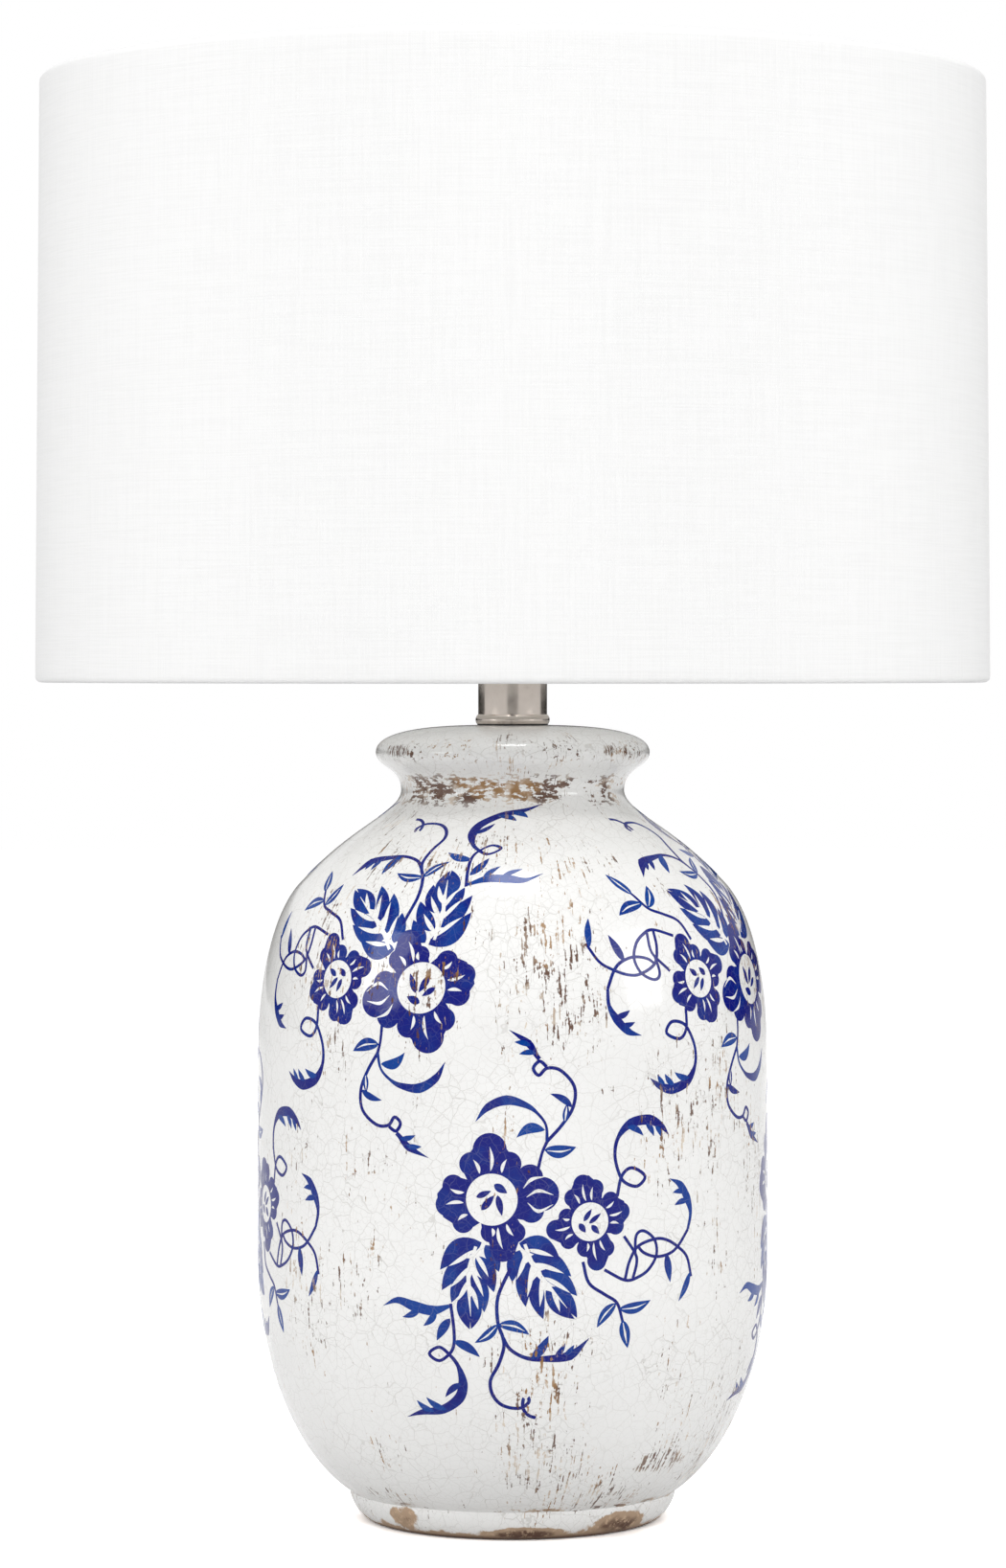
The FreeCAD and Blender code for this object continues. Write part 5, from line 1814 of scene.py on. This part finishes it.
# ---------------------------------------------------------------- studio
@dataclass
class Studio:
    """Floor, light and camera. None of it is part of the lamp. Sizes are in metres."""

    focal_pixels: float = 5472.0
    picture_height: float = 1637.0
    horizon_row: float = 696.0
    sensor: float = 36.0
    distance: float = 2.1805
    eye_height: float = 0.3535
    camera_side: float = -0.004
    floor_radius: float = 8.0
    floor_colour: tuple[float, float, float] = (0.62, 0.62, 0.62)
    floor_shown: tuple[float, float, float] = (1.9, 1.9, 1.9)
    sky_light: float = 0.56
    window_angle: float = 61.0
    window_distance: float = 1.5
    window_width: float = 0.5
    window_height: float = 0.7
    window_middle: float = 0.75
    window_power: float = 6.4
    top_place: tuple[float, float, float] = (0.0, -0.25, 1.7)
    top_size: Flat = (0.36, 0.32)
    top_power: float = 4.0
    fill_power: float = 23.2
    mirrored_share: float = 0.45
    back_power: float = 15.0
    fill_distance: float = 2.9
    fill_height: float = 1.1
    fill_size: Flat = (1.8, 1.4)
    card_distance: float = 2.35
    card_middle: float = 0.40
    card_height: float = 0.42
    cards: tuple[tuple[str, float, float], ...] = (
        ("front", 0.0, 1.5),
        ("back_left", 144.0, 3.4),
        ("back_right", -144.0, 3.4),
    )

    def build(self) -> None:
        """Sets up the whole studio."""
        bpy.context.scene.view_settings.view_transform = "Standard"
        self.build_camera()
        self.build_world()
        self.build_floor()
        self.build_lights()
        self.build_cards()

    def build_camera(self) -> None:
        """The camera, level with the top of the jar."""
        data = bpy.data.cameras.new("camera")
        data.sensor_width = self.sensor
        data.lens = self.focal_pixels * self.sensor / self.picture_height
        data.shift_y = -(self.picture_height / 2 - self.horizon_row) / self.picture_height
        data.clip_end = 50.0
        camera = add_object("camera", data)
        camera.location = (self.camera_side, -self.distance, self.eye_height)
        camera.rotation_euler = (math.pi / 2, 0, 0)
        bpy.context.scene.camera = camera

    def build_world(self) -> None:
        """White all round to the eye, a softer white in reflections and as light."""
        world = bpy.data.worlds.new("studio")
        bpy.context.scene.world = world
        world.use_nodes = True
        world.node_tree.nodes.clear()
        sheet = NodeSheet(world.node_tree)
        seen = self.seen_directly(sheet)
        strength = sheet.maths("MULTIPLY_ADD", seen, 1.0 - self.sky_light, self.sky_light)
        light = sheet.add("ShaderNodeBackground", {"Color": (1, 1, 1), "Strength": strength})
        sheet.add("ShaderNodeOutputWorld", {"Surface": light.outputs[0]})

    def seen_directly(self, sheet: NodeSheet) -> bpy.types.NodeSocket:
        """How far a ray is one that the camera sees.

        Args:
            sheet: Where the nodes go.

        Returns:
            1 straight or through glass, less in mirrors and 0 for the rest.
        """
        path = sheet.add("ShaderNodeLightPath").outputs
        mirrored = sheet.maths("MULTIPLY", path["Is Glossy Ray"], self.mirrored_share)
        mirrored = sheet.maths("MAXIMUM", mirrored, path["Is Transmission Ray"])
        return sheet.maths("MAXIMUM", path["Is Camera Ray"], mirrored)

    def build_floor(self) -> None:
        """A wide pale floor that shows the lamp's shadow."""
        mesh = bmesh.new()
        bmesh.ops.create_circle(mesh, cap_ends=True, segments=96, radius=self.floor_radius)
        floor = add_shape("floor", mesh)
        paint = bpy.data.materials.new("pale floor")
        paint.use_nodes = True
        paint.node_tree.nodes.clear()
        sheet = NodeSheet(paint.node_tree)
        colour = sheet.mix(self.seen_directly(sheet), self.floor_colour, self.floor_shown)
        matt = sheet.add("ShaderNodeBsdfDiffuse", {"Color": colour})
        sheet.add("ShaderNodeOutputMaterial", {"Surface": matt.outputs[0]})
        floor.data.materials.append(paint)

    def lamp(
        self, name: str, place: Vector, target: Vector, size: Flat, power: float
    ) -> bpy.types.Object:
        """One rectangular light.

        Args:
            name: Its name.
            place: Where it stands.
            target: What it is turned to.
            size: Its width and height.
            power: Its power in watts.

        Returns:
            The light.
        """
        data = bpy.data.lights.new(name, "AREA")
        data.shape = "RECTANGLE"
        data.size, data.size_y = size
        data.energy = power
        light = add_object(name, data)
        light.location = place
        light.rotation_euler = (target - place).to_track_quat("-Z", "Y").to_euler()
        light.visible_camera = False
        return light

    def build_lights(self) -> None:
        """A tall soft box on either side, one overhead, and wide fills before and behind."""
        middle = Vector((0, 0, 0.2))
        for name, side in (("left", -1), ("right", 1)):
            turn = math.radians(self.window_angle)
            away = Vector((side * math.sin(turn), -math.cos(turn), 0)) * self.window_distance
            place = away + Vector((0, 0, self.window_middle))
            size = (self.window_width, self.window_height)
            self.lamp(f"{name} window", place, middle, size, self.window_power)
        self.lamp("top", Vector(self.top_place), middle, self.top_size, self.top_power)
        for name, side, power in (("front", -1, self.fill_power), ("back", 1, self.back_power)):
            place = Vector((0, side * self.fill_distance, self.fill_height))
            fill = self.lamp(f"{name} fill", place, middle, self.fill_size, power)
            fill.visible_glossy = False

    def build_cards(self) -> None:
        """Narrow dark cards that only reflections see: they give polished metal its dark bands."""
        paint = bpy.data.materials.new("dark card")
        paint.use_nodes = True
        shader = paint.node_tree.nodes["Principled BSDF"]
        shader.inputs["Base Color"].default_value = (0.02, 0.018, 0.016, 1)
        shader.inputs["Roughness"].default_value = 0.9
        for name, angle, width in self.cards:
            mesh = bmesh.new()
            bmesh.ops.create_grid(mesh, x_segments=1, y_segments=1, size=0.5)
            turn = math.radians(angle)
            upright = Matrix.Rotation(math.pi / 2, 4, "X")
            sized = Matrix.Diagonal((width, 1, self.card_height, 1))
            shifted = Matrix.Translation((0, -self.card_distance, self.card_middle))
            mesh.transform(Matrix.Rotation(turn, 4, "Z") @ shifted @ sized @ upright)
            card = add_shape(f"card_{name}", mesh)
            card.data.materials.append(paint)
            card.visible_camera = False
            card.visible_diffuse = False
            card.visible_transmission = False
            card.visible_shadow = False


def main() -> None:
    """Builds the lamp's looks and its studio, in order."""
    logging.basicConfig(level=logging.INFO, format="%(name)s: %(message)s")
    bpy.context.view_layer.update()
    Studio().build()
    Fittings().dress()
    jar = Jar()
    jar.build()
    FlowerSprays(jar).build()
    Shade().build()


if __name__ == "__main__":
    main()
